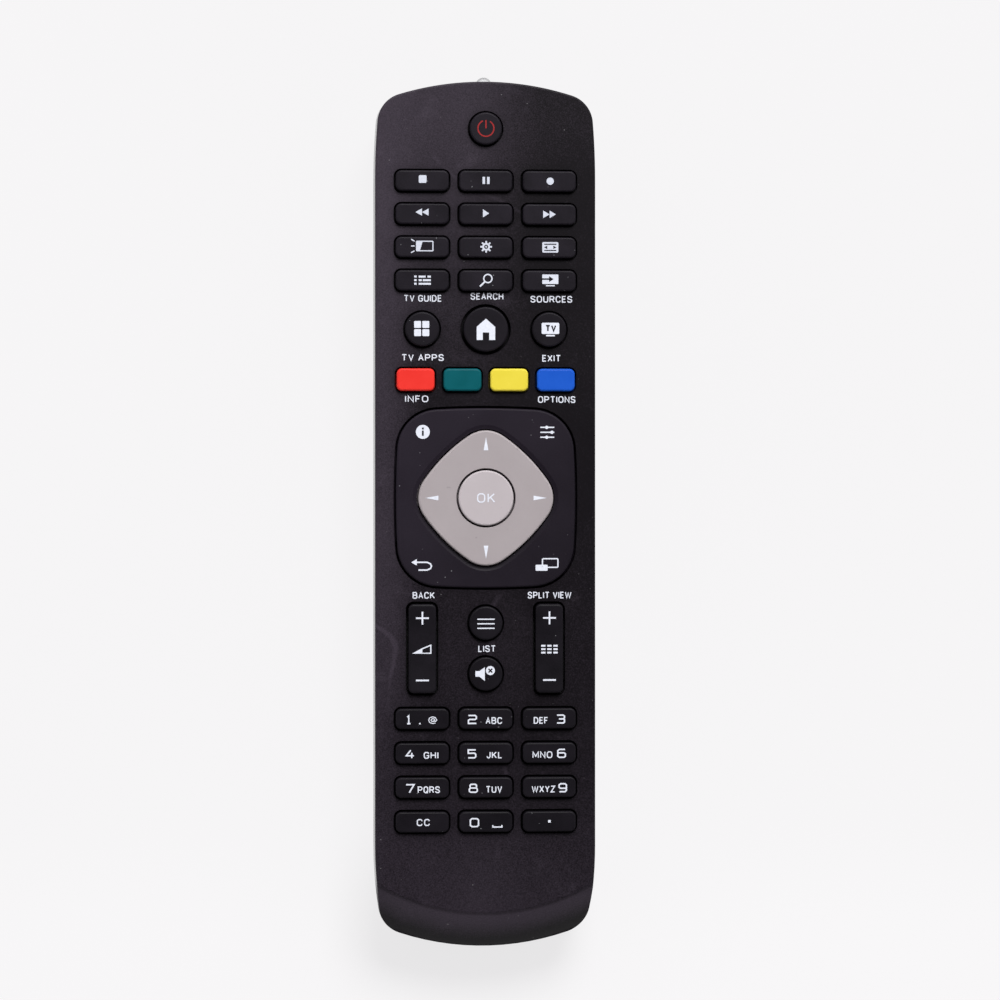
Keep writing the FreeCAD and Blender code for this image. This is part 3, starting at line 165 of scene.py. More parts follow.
def smoothed(piece, sharp=22):
    """Shade round forms smooth and keep edges crisp, with flat faces kept flat."""
    piece.data.polygons.foreach_set("use_smooth", [True] * len(piece.data.polygons))
    piece.data.set_sharp_from_angle(angle=math.radians(sharp))
    step = piece.modifiers.new("flat_faces", "WEIGHTED_NORMAL")
    step.keep_sharp = True
    step.weight = 100


def rounding(inset, top, radius, steps=ROUND_STEPS):
    """Insets and heights up a rounded edge."""
    turns = [math.pi / 2 * k / steps for k in range(1, steps + 1)]
    return [(inset + radius * (1 - math.cos(a)), top - radius * (1 - math.sin(a))) for a in turns]


rings = [
    (case_plan(face_draft + cover_wall, tail - crease_setback - 1), roof),
    (case_plan(cover_wall, tail - 4), inner_shoulder),
    (case_plan(cover_wall), seam_top),
    (case_plan(), seam_top),
    (case_plan(face_draft), face - face_round),
]
rings += [(case_plan(inset), height)
          for inset, height in rounding(face_draft, face, face_round)]
cover = lofted("front_cover_skin", rings)


def chin_cutter():
    """What the chin takes off: a slope that steepens, swept along the crease's arc."""
    drop, steepening, past_end, steps = face - seam_top, 0.4, 20, 40
    slope = [(crease_setback * u, face - drop * u * (1 - steepening + steepening * u))
             for u in (k / 12 for k in range(13))]
    soft = [(-0.35, face + 0.02), (-0.1, face - 0.01), (0.12, face - 0.06)]
    profile = [(-0.35, face + 2 * CLEAR)] + soft + slope[1:]
    profile += [(past_end, seam_top), (past_end, face + 2 * CLEAR)]
    middle = crease_setback - tail + crease_arc
    loops = []
    for k in range(steps + 1):
        turn = math.radians(-140 + 100 * k / steps)
        loops.append([((crease_arc + run) * math.cos(turn),
                       middle + (crease_arc + run) * math.sin(turn), height)
                      for run, height in profile])
    return skinned("chin_cut", loops)


cut_out(cover, chin_cutter())


def bar_plan(width, length, corner, x=0, y=0, steps=1):
    """The plan of a rounded rectangle round a point, its long sides in so many steps."""
    points = []
    for quarter, (sx, sy) in enumerate(((1, 1), (-1, 1), (-1, -1), (1, -1))):
        centre = (x + sx * (width / 2 - corner), y + sy * (length / 2 - corner))
        start = quarter * math.pi / 2
        points += turned(centre, corner, start, start + math.pi / 2, 8)
        edge = (centre[0] + corner * math.cos(start + math.pi / 2),
                centre[1] + corner * math.sin(start + math.pi / 2))
        long = quarter % 2 == 1
        for k in range(steps if long else 1):
            points.append((edge[0], edge[1] - sy * (length - 2 * corner) * k / steps))
    return points


def disc_plan(diameter, x=0, y=0):
    """The plan of a round key round a point."""
    return turned((x, y), diameter / 2, 0, 2 * math.pi, DISC_STEPS)


def pillow_plan(half, side_arc, corner, turn=0, x=0, y=0):
    """The plan of a square with bulging sides and round corners, all arcs tangent."""
    lean = side_arc - half
    c = (-lean + math.sqrt(2 * (side_arc - corner) ** 2 - lean**2)) / 2
    bend = math.atan2(c, c + lean)
    points = []
    for quarter in range(4):
        middle = quarter * math.pi / 2 + turn
        out = Vector((math.cos(middle), math.sin(middle)))
        across = Vector((-out.y, out.x))
        centre = Vector((x, y))
        points += turned(centre + out * (half - side_arc), side_arc,
                         middle - bend, middle + bend, 12)
        points += turned(centre + (out + across) * c, corner,
                         middle + bend, middle + math.pi / 2 - bend, 14)
    return points


LIP = 0.6
BAR_CORNER, COLOUR_CORNER, ROCKER_CORNER = 1.35, 1.25, 1.2
PLATE_ARC, PLATE_CORNER, RING_ARC, RING_CORNER = 200.0, 9.5, 40.0, 7.0
# Gaps round the keys in the face, round the ring in its plate and round OK in the ring
KEY_GAP, ROCKER_GAP, HOME_GAP, PAD_GAP = 0.38, 0.5, 0.62, 0.48
RING_GAP, OK_GAP = 0.35, 0.45


def middle_of(node):
    """The middle of a CAD node's box in plan, in millimetres."""
    low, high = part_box(node)
    return (low.x + high.x) / 2 / MM, (low.y + high.y) / 2 / MM


def size_of(node):
    """Width and length of the part of a key that comes through the face."""
    low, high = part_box(node)
    return (high.x - low.x) / MM - 2 * LIP, (high.y - low.y) / MM - 2 * LIP


def top_of(node):
    """The height of a CAD node's top, in millimetres."""
    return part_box(node)[1].z / MM


ROUND_KEYS = ("key_power", "key_apps", "key_home", "key_exit", "key_list", "key_mute")
COLOUR_KEYS = ("key_red", "key_green", "key_yellow", "key_blue")
ROCKERS = ("volume_rocker", "channel_rocker")
BAR_KEYS = tuple(sorted(
    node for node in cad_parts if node.startswith("key_")
    and node not in ROUND_KEYS + COLOUR_KEYS + ("key_mat", "key_ok")))
ROCKER_WIDTH, ROCKER_REACH, ROCKER_STEPS = 6.4, 0.35, 18


def key_plan(node, grow=0.0):
    """The plan of any key that stands in its own opening, grown all round."""
    x, y = middle_of(node)
    width, length = size_of(node)
    if node in ROUND_KEYS:
        return disc_plan(width + 2 * grow, x, y)
    if node == "corner_plate":
        return pillow_plan(width / 2 + grow, PLATE_ARC + grow, PLATE_CORNER + grow, 0, x, y)
    if node in ROCKERS:
        low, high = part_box(node)
        length = (high.y - low.y) / MM + ROCKER_REACH
        return bar_plan(ROCKER_WIDTH + 2 * grow, length + 2 * grow, ROCKER_CORNER + grow, x, y,
                        ROCKER_STEPS)
    corner = COLOUR_CORNER if node in COLOUR_KEYS else BAR_CORNER
    return bar_plan(width + 2 * grow, length + 2 * grow, corner + grow, x, y)


gaps = {node: KEY_GAP for node in BAR_KEYS + ROUND_KEYS + COLOUR_KEYS}
gaps.update({node: ROCKER_GAP for node in ROCKERS})
gaps["corner_plate"] = PAD_GAP
gaps["key_home"] = HOME_GAP
cutters = []
for node, gap in gaps.items():
    cutters.append(lofted(node + "_opening", [
        (key_plan(node, gap), roof - CLEAR),
        (key_plan(node, gap), face - rim_bevel),
        (key_plan(node, gap + rim_bevel), face),
        (key_plan(node, gap + rim_bevel), face + CLEAR),
    ]))


def joined(name, pieces):
    """Several meshes as one, and the separate ones dropped."""
    mesh = bmesh.new()
    for piece in pieces:
        mesh.from_mesh(piece.data)
        bpy.data.objects.remove(piece)
    return meshed(name, mesh)


cut_out(cover, joined("openings", cutters))
smoothed(cover)


class Shade:
    """A socket of a node tree; arithmetic on it adds Math nodes."""

    def __init__(self, tree, socket=None):
        self.tree = tree
        self.socket = socket

    def node(self, kind, inputs=(), output=0, **settings):
        """Add any node, set or link its inputs by name, and return one of its outputs."""
        family = "" if kind.startswith("GeometryNode") else "ShaderNode"
        node = self.tree.nodes.new(family + kind)
        for name, value in settings.items():
            setattr(node, name, value)
        for name, value in dict(inputs).items():
            if isinstance(value, Shade):
                self.tree.links.new(value.socket, node.inputs[name])
            else:
                node.inputs[name].default_value = value
        return Shade(self.tree, node.outputs[output])

    def math(self, operation, first, second):
        return self.node("Math", {0: first, 1: second}, operation=operation)

    def __add__(self, other):
        return self.math("ADD", self, other)

    def __sub__(self, other):
        return self.math("SUBTRACT", self, other)

    def __rsub__(self, other):
        return self.math("SUBTRACT", other, self)

    def __mul__(self, other):
        return self.math("MULTIPLY", self, other)

    __radd__ = __add__
    __rmul__ = __mul__

    def at_most(self, high):
        return self.math("MINIMUM", self, high)

    def held(self):
        """This value, kept from zero to one."""
        return self.math("MAXIMUM", self, 0.0).at_most(1.0)

    def axis(self, number):
        """One coordinate of a place: 0 across, 1 along and 2 up."""
        return self.node("SeparateXYZ", {0: self}, number)

    def above(self, low, high):
        """Zero up to the first value and one past the second, smooth in between."""
        return self.node("MapRange", {0: self, 1: low, 2: high}, interpolation_type="SMOOTHSTEP")

    def painted_shade_in_hollows(self, reach, share):
        """Painted shade: base colour darkened by ambient occlusion in the corners and gaps round
        keys; one in the open, less where closed in.
        """
        open_air = self.node("AmbientOcclusion", {"Distance": reach}, 1, samples=6)
        return open_air * share + (1.0 - share)

    def noise(self, scale, detail=2.0, roughness=0.5):
        return self.node("TexNoise", {"Vector": self, "Scale": scale, "Detail": detail,
                                      "Roughness": roughness})

    def specks(self, scale, share=0.87):
        """Rare round dots, as of dust."""
        return self.noise(scale, 0.0).above(share, share + 0.02)

    def between(self, first, second):
        """Mix two colours by this value."""
        return self.node("Mix", {0: self, 6: first, 7: second}, 2, data_type="RGBA")


def linear(red, green, blue):
    """A colour written 0 to 255, as the shader wants it."""
    parts = [c / 255 for c in (red, green, blue)]
    return [*(c / 12.92 if c <= 0.04045 else ((c + 0.055) / 1.055) ** 2.4 for c in parts), 1.0]


def material(name, **fixed):
    """A material with these inputs of its shader set; returns it, a Shade and the shader."""
    made = bpy.data.materials.new(name)
    made.use_nodes = True
    shader = made.node_tree.nodes["Principled BSDF"]
    for key, value in fixed.items():
        shader.inputs[key.replace("_", " ")].default_value = value
    return made, Shade(made.node_tree), shader


def drive(shader, **values):
    """Link values to inputs of a shader."""
    for key, value in values.items():
        value.tree.links.new(value.socket, shader.inputs[key.replace("_", " ")])


def place(shade):
    """Object coordinates of the piece, in metres."""
    return shade.node("TexCoord", output=3)


def grained(shade, height, depth, fine=1.0):
    """A bump from a height."""
    return shade.node("Bump", {"Height": height, "Distance": depth, "Strength": fine})


matte_black, shade, shader = material("matte_black", Specular_IOR_Level=0.13)
spot = place(shade)
across, along, height = (spot.axis(k) for k in range(3))
grain = spot.noise(4300, 2.0, 0.65)
cloud = spot.noise(38, 3.0, 0.55)
smudge = spot.noise(90, 4.0, 0.7).above(0.56, 0.78)
swirl = spot.noise(26, 1.0, 0.4) - 0.5
streak = (1.0 - swirl * swirl * 9000.0).held() * spot.noise(60, 2.0).above(0.5, 0.62)
# Painted light on the face: a painted sheen down its left side and at both ends, a paler lower
# half, and painted shade over its right side.
# Places are in metres and depths are shares of the palest tone.
painted_left_sheen = 1.0 - across.above(-0.0245, -0.0125)
painted_right_shade = across.above(-0.006, 0.016)
painted_end_sheen = (along.above(0.02, 0.09) * 0.52 * (1.0 - painted_right_shade)
            + along.above(0.075, 0.09) * 0.16 * painted_right_shade
            + (along * -1.0).above(0.05, 0.11) * 0.3)
painted_low_sheen = (along * -1.0).above(0.0, 0.03) * 0.1 * (1.0 - painted_left_sheen)
painted_left_sheen_depth = along.above(-0.075, 0.01) * 0.33 + 0.22
# The chin, and the side walls, which are smoother than the face. The chin gets painted light:
# paler just under its crease and darker towards its foot.
foot = (along * -1.0).above(0.084, 0.09)
wall = (1.0 - height.above(0.0205, 0.0212)) * (1.0 - foot)
painted_chin_light = (1.0 - height.above(0.0214, 0.0219)) * foot * (height.above(0.0158, 0.0212) - 0.52)
tone_and_painted_light = (painted_left_sheen * painted_left_sheen_depth + painted_end_sheen * (1.0 - painted_left_sheen * 0.7) + painted_low_sheen
        + cloud * 0.3 + smudge * 0.22 + streak * 0.3
        + painted_chin_light + (grain - 0.5) * 1.3 - painted_right_shade * 0.13 - 0.09)
# The side walls take only part of the face's tone and painted light, so they are darker; painted
# shade darkens the face in the gaps round the keys.
tone_and_painted_light = (tone_and_painted_light * 0.75).held() * (1.0 - wall * 0.6) * shade.painted_shade_in_hollows(0.0024, 0.85)
tone = tone_and_painted_light.between(linear(8, 4, 9), linear(70, 62, 73))
dust_and_painted_light = (spot.specks(1500) * 0.3).between(tone, linear(150, 148, 150))
drive(shader, Base_Color=dust_and_painted_light, Roughness=cloud * 0.12 + smudge * 0.1 + 0.42 - wall * 0.36,
      Normal=grained(shade, grain, 0.00002, 0.5))
cover.data.materials.append(matte_black)
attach(cover, "casing")
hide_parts("front_cover")


# Rear shell and battery door. Smooth glossy black mouldings; the shell carries the board,
# the cells and their contacts, and the door slides off it towards the battery end.


def softened(node, name, sharp=30):
    """A CAD node's own form with its loose triangles joined and its curves shaded smooth."""
    mesh = bmesh.new()
    mesh.from_mesh(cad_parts[node].data)
    bmesh.ops.remove_doubles(mesh, verts=mesh.verts, dist=0.000002)
    bmesh.ops.dissolve_limit(mesh, angle_limit=math.radians(0.2), verts=mesh.verts,
                             edges=mesh.edges)
    piece = meshed(name, mesh)
    smoothed(piece, sharp)
    return piece


gloss_black, shade, shader = material("gloss_black", Specular_IOR_Level=0.35)
spot = place(shade)
cloud = spot.noise(45, 3.0, 0.6)
scuff = spot.noise(600, 3.0, 0.7)
drive(shader, Base_Color=cloud.between(linear(15, 12, 16), linear(26, 22, 28)),
      Roughness=cloud * 0.08 + scuff * 0.06 + 0.26,
      Normal=grained(shade, scuff, 0.00001, 0.25))
for node, body in (("rear_shell", "casing"), ("battery_door", "battery_door")):
    piece = softened(node, node + "_skin")
    piece.data.materials.append(gloss_black)
    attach(piece, body)
    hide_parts(node)


# Dark keys. Moulded rubber caps with soft edges, each with a lip under the face that
# keeps it in its opening; they stand on the mat's contacts and press straight down.
KEY_EDGE = 0.42
LIP_DEPTH, SEAT = 0.8, 0.02
CAP_SHARP = 40
DUST = linear(150, 150, 154)


def cap(node, name, edge, roof=roof):
    """The cap of a key: its lip, its straight sides, a rounded edge and its top."""
    top = top_of(node)
    rings = [(key_plan(node, LIP - SEAT), roof - LIP_DEPTH),
             (key_plan(node, LIP - SEAT), roof - SEAT),
             (key_plan(node), roof - SEAT), (key_plan(node), top - edge)]
    rings += [(key_plan(node, -inset), height) for inset, height in rounding(0.0, top, edge)]
    piece = lofted(name, rings)
    smoothed(piece, CAP_SHARP)
    return piece


key_rubber, shade, shader = material("key_rubber", Specular_IOR_Level=0.12)
spot = place(shade)
grain = spot.noise(4200, 2.0, 0.6)
cloud = spot.noise(120, 3.0, 0.6)
# Painted light: keys paler towards the top end; painted shade darkens them in the gaps round
# them.
painted_light_up = spot.axis(1).above(0.03, 0.06) * 0.4 + 0.6
tone = (cloud * 0.7 + (grain - 0.5) * 0.6 + 0.1).held() * painted_light_up * shade.painted_shade_in_hollows(0.0016, 0.85)
tone = tone.between(linear(4, 3, 5), linear(38, 33, 42))
drive(shader, Base_Color=(spot.specks(1700) * 0.45).between(tone, DUST),
      Roughness=cloud * 0.16 + 0.4, Normal=grained(shade, grain, 0.000015, 0.4))
for node in BAR_KEYS + ROUND_KEYS:
    piece = cap(node, node + "_cap", KEY_EDGE)
    piece.data.materials.append(key_rubber)
    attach(piece, node)
    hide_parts(node)


# Colour keys. The same caps in four through-coloured plastics with a satin skin.
COLOUR_EDGE = 0.5
COLOURS = {
    "key_red": ("red_plastic", (217, 43, 36), (230, 56, 48)),
    "key_green": ("green_plastic", (0, 76, 82), (0, 88, 97)),
    "key_yellow": ("yellow_plastic", (214, 196, 56), (226, 208, 72)),
    "key_blue": ("blue_plastic", (18, 76, 178), (28, 88, 194)),
}
for node, (slot, deep, bright) in COLOURS.items():
    plastic, shade, shader = material(slot, Specular_IOR_Level=0.12)
    spot = place(shade)
    cloud = spot.noise(260, 3.0, 0.6)
    skin = cloud.between(linear(*deep), linear(*bright))
    # Painted shade: the plastic darkens to near black in the gaps round each key.
    drive(shader, Base_Color=shade.painted_shade_in_hollows(0.0014, 1.0).between(linear(8, 5, 7), skin),
          Roughness=cloud * 0.15 + 0.36,
          Normal=grained(shade, spot.noise(3000, 2.0), 0.00001, 0.3))
    piece = cap(node, node + "_cap", COLOUR_EDGE)
    piece.data.materials.append(plastic)
    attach(piece, node)
    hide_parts(node)


# Rockers. Long caps for volume and channel, a little hollow along their middle; each
# tilts on a bar that bears against the inside of the face.
ROCKER_HOLLOW, ROCKER_EDGE = 0.25, 0.5


def hollow_at(share):
    """How far a rocker's top sinks, from its middle, at zero, to its end, at one."""
    return ROCKER_HOLLOW * math.cos(share * 1.5)


def rocker(node):
    """A rocker's cap, lower at its middle than at its ends."""
    x, y = middle_of(node)
    low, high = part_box(node)
    top, half = high.z / MM, (high.y - low.y) / 2 / MM
    rings = [(key_plan(node), roof - LIP_DEPTH), (key_plan(node), face)]
    for inset, height in [(0.0, top - ROCKER_EDGE)] + rounding(0.0, top, ROCKER_EDGE):
        plan = key_plan(node, -inset)
        share = (height - face) / (top - face)
        rings.append((plan, [height - share * hollow_at((point[1] - y) / half)
                             for point in plan]))
    ends = rings[-1]
    piece = lofted(node + "_cap", rings)
    mesh = bmesh.new()
    mesh.from_mesh(piece.data)
    lid = max(mesh.faces, key=lambda f: f.calc_center_median().z if len(f.verts) > 8 else -1)
    bmesh.ops.delete(mesh, geom=[lid], context="FACES_ONLY")
    mesh.verts.ensure_lookup_table()
    count = len(ends[0])
    loop = list(mesh.verts)[-count:]
    left = sorted((v for v in loop if v.co.x < x * MM), key=lambda v: v.co.y)
    right = sorted((v for v in loop if v.co.x > x * MM), key=lambda v: v.co.y)
    for k in range(len(left) - 1):
        mesh.faces.new((left[k], right[k], right[k + 1], left[k + 1]))
    return piece, mesh


for node in ROCKERS:
    piece, mesh = rocker(node)
    mesh.to_mesh(piece.data)
    mesh.free()
    smoothed(piece, CAP_SHARP)
    piece.data.materials.append(key_rubber)
    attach(piece, node)
    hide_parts(node)


# Navigation pad. A dark corner plate with a dished rim round a pale diamond ring, and a
# round centre key in the ring; the plate and the ring tilt on rubber frames beneath.
RING_EDGE, PLATE_EDGE, OK_EDGE = 0.45, 0.5, 0.4
DISH_WIDTH, DISH_DEPTH = 1.0, 0.3
HOLE_CHAMFER, BELOW_ALL = 0.16, 10
pad_x, pad_y = middle_of("key_ok")
ring_half = 13.7
ok_width = 12.8
plate_top, ring_top, ok_top = (
    top_of(node) for node in ("corner_plate", "navigation_ring", "key_ok"))
plate_foot, ring_foot = (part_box(node)[0].z / MM for node in ("corner_plate", "navigation_ring"))


def ring_plan(grow=0.0):
    return pillow_plan(ring_half + grow, RING_ARC + grow, RING_CORNER + grow, math.pi / 4,
                       pad_x, pad_y)


plate = cap("corner_plate", "corner_plate_skin", PLATE_EDGE, plate_foot + LIP_DEPTH)
dish = [(ring_plan(RING_GAP), BELOW_ALL)]
dish += [(ring_plan(RING_GAP + DISH_WIDTH * run), plate_top - DISH_DEPTH * drop)
         for run, drop in ((0, 1), (0.45, 0.8), (0.8, 0.3), (1, 0))]
dish.append((ring_plan(RING_GAP + DISH_WIDTH), plate_top + CLEAR))
cut_out(plate, lofted("ring_hole", dish))
smoothed(plate)
plate_rubber, shade, shader = material("plate_rubber", Specular_IOR_Level=0.09)
spot = place(shade)
grain = spot.noise(4200, 2.0, 0.6)
cloud = spot.noise(60, 3.0, 0.6)
# Painted light: the plate is paler towards its upper left and darker towards its lower right.
painted_upper_left_light = (spot.axis(1) * 0.75 - spot.axis(0)).above(-0.036, 0.04)
tone = (painted_upper_left_light * 0.25 + cloud * 0.35 + (grain - 0.5) * 0.5 + 0.22).held()
tone = tone.between(linear(6, 4, 7), linear(44, 38, 48))
drive(shader, Base_Color=(spot.specks(1700) * 0.45).between(tone, DUST),
      Roughness=cloud * 0.16 + 0.4, Normal=grained(shade, grain, 0.000015, 0.4))
plate.data.materials.append(plate_rubber)
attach(plate, "corner_plate")
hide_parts("corner_plate")

rings = [(ring_plan(LIP - SEAT), ring_foot), (ring_plan(LIP - SEAT), ring_foot + LIP_DEPTH),
         (ring_plan(), ring_foot + LIP_DEPTH), (ring_plan(), ring_top - RING_EDGE)]
rings += [(ring_plan(-inset), height) for inset, height in rounding(0.0, ring_top, RING_EDGE)]
ring = lofted("navigation_ring_skin", rings)
hole = ok_width + 2 * OK_GAP
cut_out(ring, lofted("ok_hole", [
    (disc_plan(width, pad_x, pad_y), height) for width, height in (
        (hole, BELOW_ALL), (hole, ring_top - 0.15),
        (hole + HOLE_CHAMFER, ring_top), (hole + HOLE_CHAMFER, ring_top + CLEAR))]))
smoothed(ring)

rings = [(2 * LIP, roof - LIP_DEPTH), (2 * LIP, roof - SEAT), (0.0, roof - SEAT),
         (0.0, ok_top - OK_EDGE)]
rings += [(-2 * inset, height) for inset, height in rounding(0.0, ok_top, OK_EDGE)]
ok = lofted("key_ok_cap", [(disc_plan(ok_width + grow, pad_x, pad_y), height)
                           for grow, height in rings])
smoothed(ok, CAP_SHARP)


def satin(name, deep, bright):
    """Pale satin plastic with a fine, faintly cloudy skin."""
    plastic, shade, shader = material(name, Specular_IOR_Level=0.3)
    spot = place(shade)
    cloud = spot.noise(70, 3.0, 0.6)
    grain = spot.noise(5200, 2.0, 0.6)
    tone = (cloud * 0.8 + (grain - 0.5) * 0.35 + 0.1).held()
    tone = tone.between(linear(*deep), linear(*bright))
    drive(shader, Base_Color=(spot.specks(1300, 0.86) * 0.25).between(tone, linear(96, 90, 94)),
          Roughness=cloud * 0.12 + 0.38, Normal=grained(shade, grain, 0.00001, 0.3))
    return plastic


for piece, node, slot, deep, bright in (
    (ring, "navigation_ring", "grey_plastic", (150, 142, 144), (168, 160, 162)),
    (ok, "key_ok", "light_grey_plastic", (170, 162, 165), (188, 180, 183)),
):
    piece.data.materials.append(satin(slot, deep, bright))
    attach(piece, node)
    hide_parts(node)


# Printed marks. Pale ink on the keys and the face: generic signs, numbers and plain
# words, each a thin layer that moves with the key that it is printed on.
INK = 0.03
LAYER, LAYERS = 0.0012, 9
DARK_LIFT = 1.5 * INK
DIGIT_HEIGHT, LETTER_HEIGHT, WORD_HEIGHT, BASELINE = 2.16, 1.58, 1.56, -1.23
DIGIT_STROKE = 0.33


def ribbon(points, width, closed=False):
    """Quads along a bent line, mitred at its corners."""
    count = len(points)
    sides = []
    for k, point in enumerate(points):
        here = Vector(point)
        before = Vector(points[k - 1]) if closed or k else None
        after = Vector(points[(k + 1) % count]) if closed or k < count - 1 else None
        into = (here - before).normalized() if before is not None else None
        out = (after - here).normalized() if after is not None else None
        into, out = into or out, out or into
        along = (into + out).normalized()
        normal = Vector((-along.y, along.x))
        reach = width / 2 / max(0.5, normal.dot(Vector((-into.y, into.x))))
        sides.append((here + normal * reach, here - normal * reach))
    last = count if closed else count - 1
    return [[sides[k][0], sides[k][1], sides[(k + 1) % count][1], sides[(k + 1) % count][0]]
            for k in range(last)]


def boxed(x0, y0, x1, y1):
    """A filled rectangle."""
    return [[(x0, y0), (x1, y0), (x1, y1), (x0, y1)]]


def framed(width, height, corner, stroke, x=0.0, y=0.0):
    """The outline of a rounded rectangle."""
    return ribbon(bar_plan(width, height, corner, x, y), stroke, True)


def dot(x, y, radius, steps):
    """A filled disc."""
    return [turned((x, y), radius, 0, 2 * math.pi, steps)]


def circled(diameter, stroke, x=0.0, y=0.0):
    """A round line."""
    return ribbon(dot(x, y, diameter / 2, 40)[0], stroke, True)


# Each sign's strokes in a unit square, left to right and base to top; closed ones end in True
BOWL = [(0.9, 0.92), (0.7, 1), (0.3, 1), (0.06, 0.86), (0, 0.68), (0, 0.32), (0.06, 0.14),
        (0.3, 0), (0.7, 0)]
STROKES = {
    "A": [[(0, 0), (0.5, 1), (1, 0)], [(0.2, 0.34), (0.8, 0.34)]],
    "B": [[(0, 0), (0, 1), (0.7, 1), (0.92, 0.88), (0.92, 0.65), (0.7, 0.53), (0, 0.53)],
          [(0.7, 0.53), (1, 0.4), (1, 0.13), (0.75, 0), (0, 0)]],
    "C": [[(1, 0.74), *BOWL, (0.9, 0.08), (1, 0.26)]],
    "D": [[(0, 0), (0, 1), (0.6, 1), (0.9, 0.84), (1, 0.62), (1, 0.38), (0.9, 0.16), (0.6, 0),
           True]],
    "E": [[(1, 1), (0, 1), (0, 0), (1, 0)], [(0, 0.52), (0.88, 0.52)]],
    "F": [[(1, 1), (0, 1), (0, 0)], [(0, 0.5), (0.85, 0.5)]],
    "G": [[(1, 0.76), *BOWL, (1, 0.16), (1, 0.46), (0.56, 0.46)]],
    "H": [[(0, 0), (0, 1)], [(1, 0), (1, 1)], [(0, 0.52), (1, 0.52)]],
    "I": [[(0, 0), (0, 1)]],
    "J": [[(1, 1), (1, 0.25), (0.85, 0.06), (0.6, 0), (0.35, 0), (0.1, 0.08), (0, 0.28)]],
    "K": [[(0, 0), (0, 1)], [(0.95, 1), (0.05, 0.4)], [(0.33, 0.6), (1, 0)]],
    "L": [[(0, 1), (0, 0), (1, 0)]],
    "M": [[(0, 0), (0, 1), (0.5, 0.22), (1, 1), (1, 0)]],
    "N": [[(0, 0), (0, 1), (1, 0), (1, 1)]],
    "O": [[(0.3, 0), (0.7, 0), (0.94, 0.14), (1, 0.32), (1, 0.68), (0.94, 0.86), (0.7, 1),
           (0.3, 1), (0.06, 0.86), (0, 0.68), (0, 0.32), (0.06, 0.14), True]],
    "P": [[(0, 0), (0, 1), (0.7, 1), (0.95, 0.88), (1, 0.73), (0.95, 0.58), (0.7, 0.46),
           (0, 0.46)]],
    "R": [[(0, 0), (0, 1), (0.7, 1), (0.95, 0.88), (1, 0.74), (0.95, 0.6), (0.7, 0.48),
           (0, 0.48)], [(0.6, 0.48), (1, 0)]],
    "S": [[(0.97, 0.76), (0.9, 0.91), (0.7, 1), (0.28, 1), (0.06, 0.9), (0.02, 0.75),
           (0.1, 0.61), (0.3, 0.54), (0.7, 0.47), (0.93, 0.38), (1, 0.24), (0.93, 0.09),
           (0.7, 0), (0.28, 0), (0.07, 0.09), (0, 0.25)]],
    "T": [[(0, 1), (1, 1)], [(0.5, 1), (0.5, 0)]],
    "U": [[(0, 1), (0, 0.28), (0.08, 0.1), (0.3, 0), (0.7, 0), (0.92, 0.1), (1, 0.28), (1, 1)]],
    "V": [[(0, 1), (0.5, 0), (1, 1)]],
    "W": [[(0, 1), (0.25, 0), (0.5, 0.9), (0.75, 0), (1, 1)]],
    "X": [[(0, 0), (1, 1)], [(0, 1), (1, 0)]],
    "Y": [[(0, 1), (0.5, 0.48), (1, 1)], [(0.5, 0.48), (0.5, 0)]],
    "Z": [[(0, 1), (1, 1), (0, 0), (1, 0)]],
    "@": [[(0.7, 0.7), (0.42, 0.7), (0.3, 0.5), (0.4, 0.32), (0.62, 0.32), (0.7, 0.45)],
          [(0.7, 0.72), (0.72, 0.36), (0.86, 0.3), (1, 0.5), (0.86, 0.86), (0.5, 1),
           (0.14, 0.86), (0, 0.5), (0.14, 0.14), (0.5, 0), (0.85, 0.08)]],
    "0": [[(0.18, 0), (0.82, 0), (1, 0.18), (1, 0.82), (0.82, 1), (0.18, 1), (0, 0.82),
           (0, 0.18), True]],
    "1": [[(0.05, 0.82), (0.5, 1), (0.5, 0)], [(0, 0), (1, 0)]],
    "2": [[(0, 1), (0.84, 1), (1, 0.87), (1, 0.6), (0.84, 0.5), (0.16, 0.5), (0, 0.4), (0, 0),
           (1, 0)]],
    "3": [[(0, 1), (0.84, 1), (1, 0.87), (1, 0.64), (0.84, 0.52), (0.25, 0.52)],
          [(0.84, 0.52), (1, 0.4), (1, 0.13), (0.84, 0), (0, 0)]],
    "4": [[(0.6, 1), (0, 0.3), (1, 0.3)], [(0.74, 0.66), (0.74, 0)]],
    "5": [[(1, 1), (0, 1), (0, 0.58), (0.84, 0.58), (1, 0.45), (1, 0.13), (0.84, 0), (0, 0)]],
    "6": [[(0.95, 1), (0.18, 1), (0, 0.84), (0, 0.14), (0.18, 0), (0.82, 0), (1, 0.14),
           (1, 0.44), (0.82, 0.57), (0, 0.57)]],
    "7": [[(0, 1), (1, 1), (0.4, 0)]],
    "8": [[(0.16, 0), (0.84, 0), (1, 0.13), (1, 0.4), (0.84, 0.53), (0.16, 0.53), (0, 0.4),
           (0, 0.13), True],
          [(0.1, 0.56), (0.1, 0.88), (0.24, 1), (0.76, 1), (0.9, 0.88), (0.9, 0.56)]],
    "9": [[(0.05, 0), (0.82, 0), (1, 0.16), (1, 0.86), (0.82, 1), (0.18, 1), (0, 0.86),
           (0, 0.56), (0.18, 0.43), (1, 0.43)]],
}
# Widths of the signs whose width isn't the usual one, as shares of their height
SIGN_WIDTHS = {"I": 0.0, "O": 0.6, "E": 0.44, "F": 0.44, "L": 0.42, "J": 0.4, "M": 0.68,
               "W": 0.86, " ": 0.1}
LETTER_WIDTH, LETTER_SPACE = 0.55, 0.3


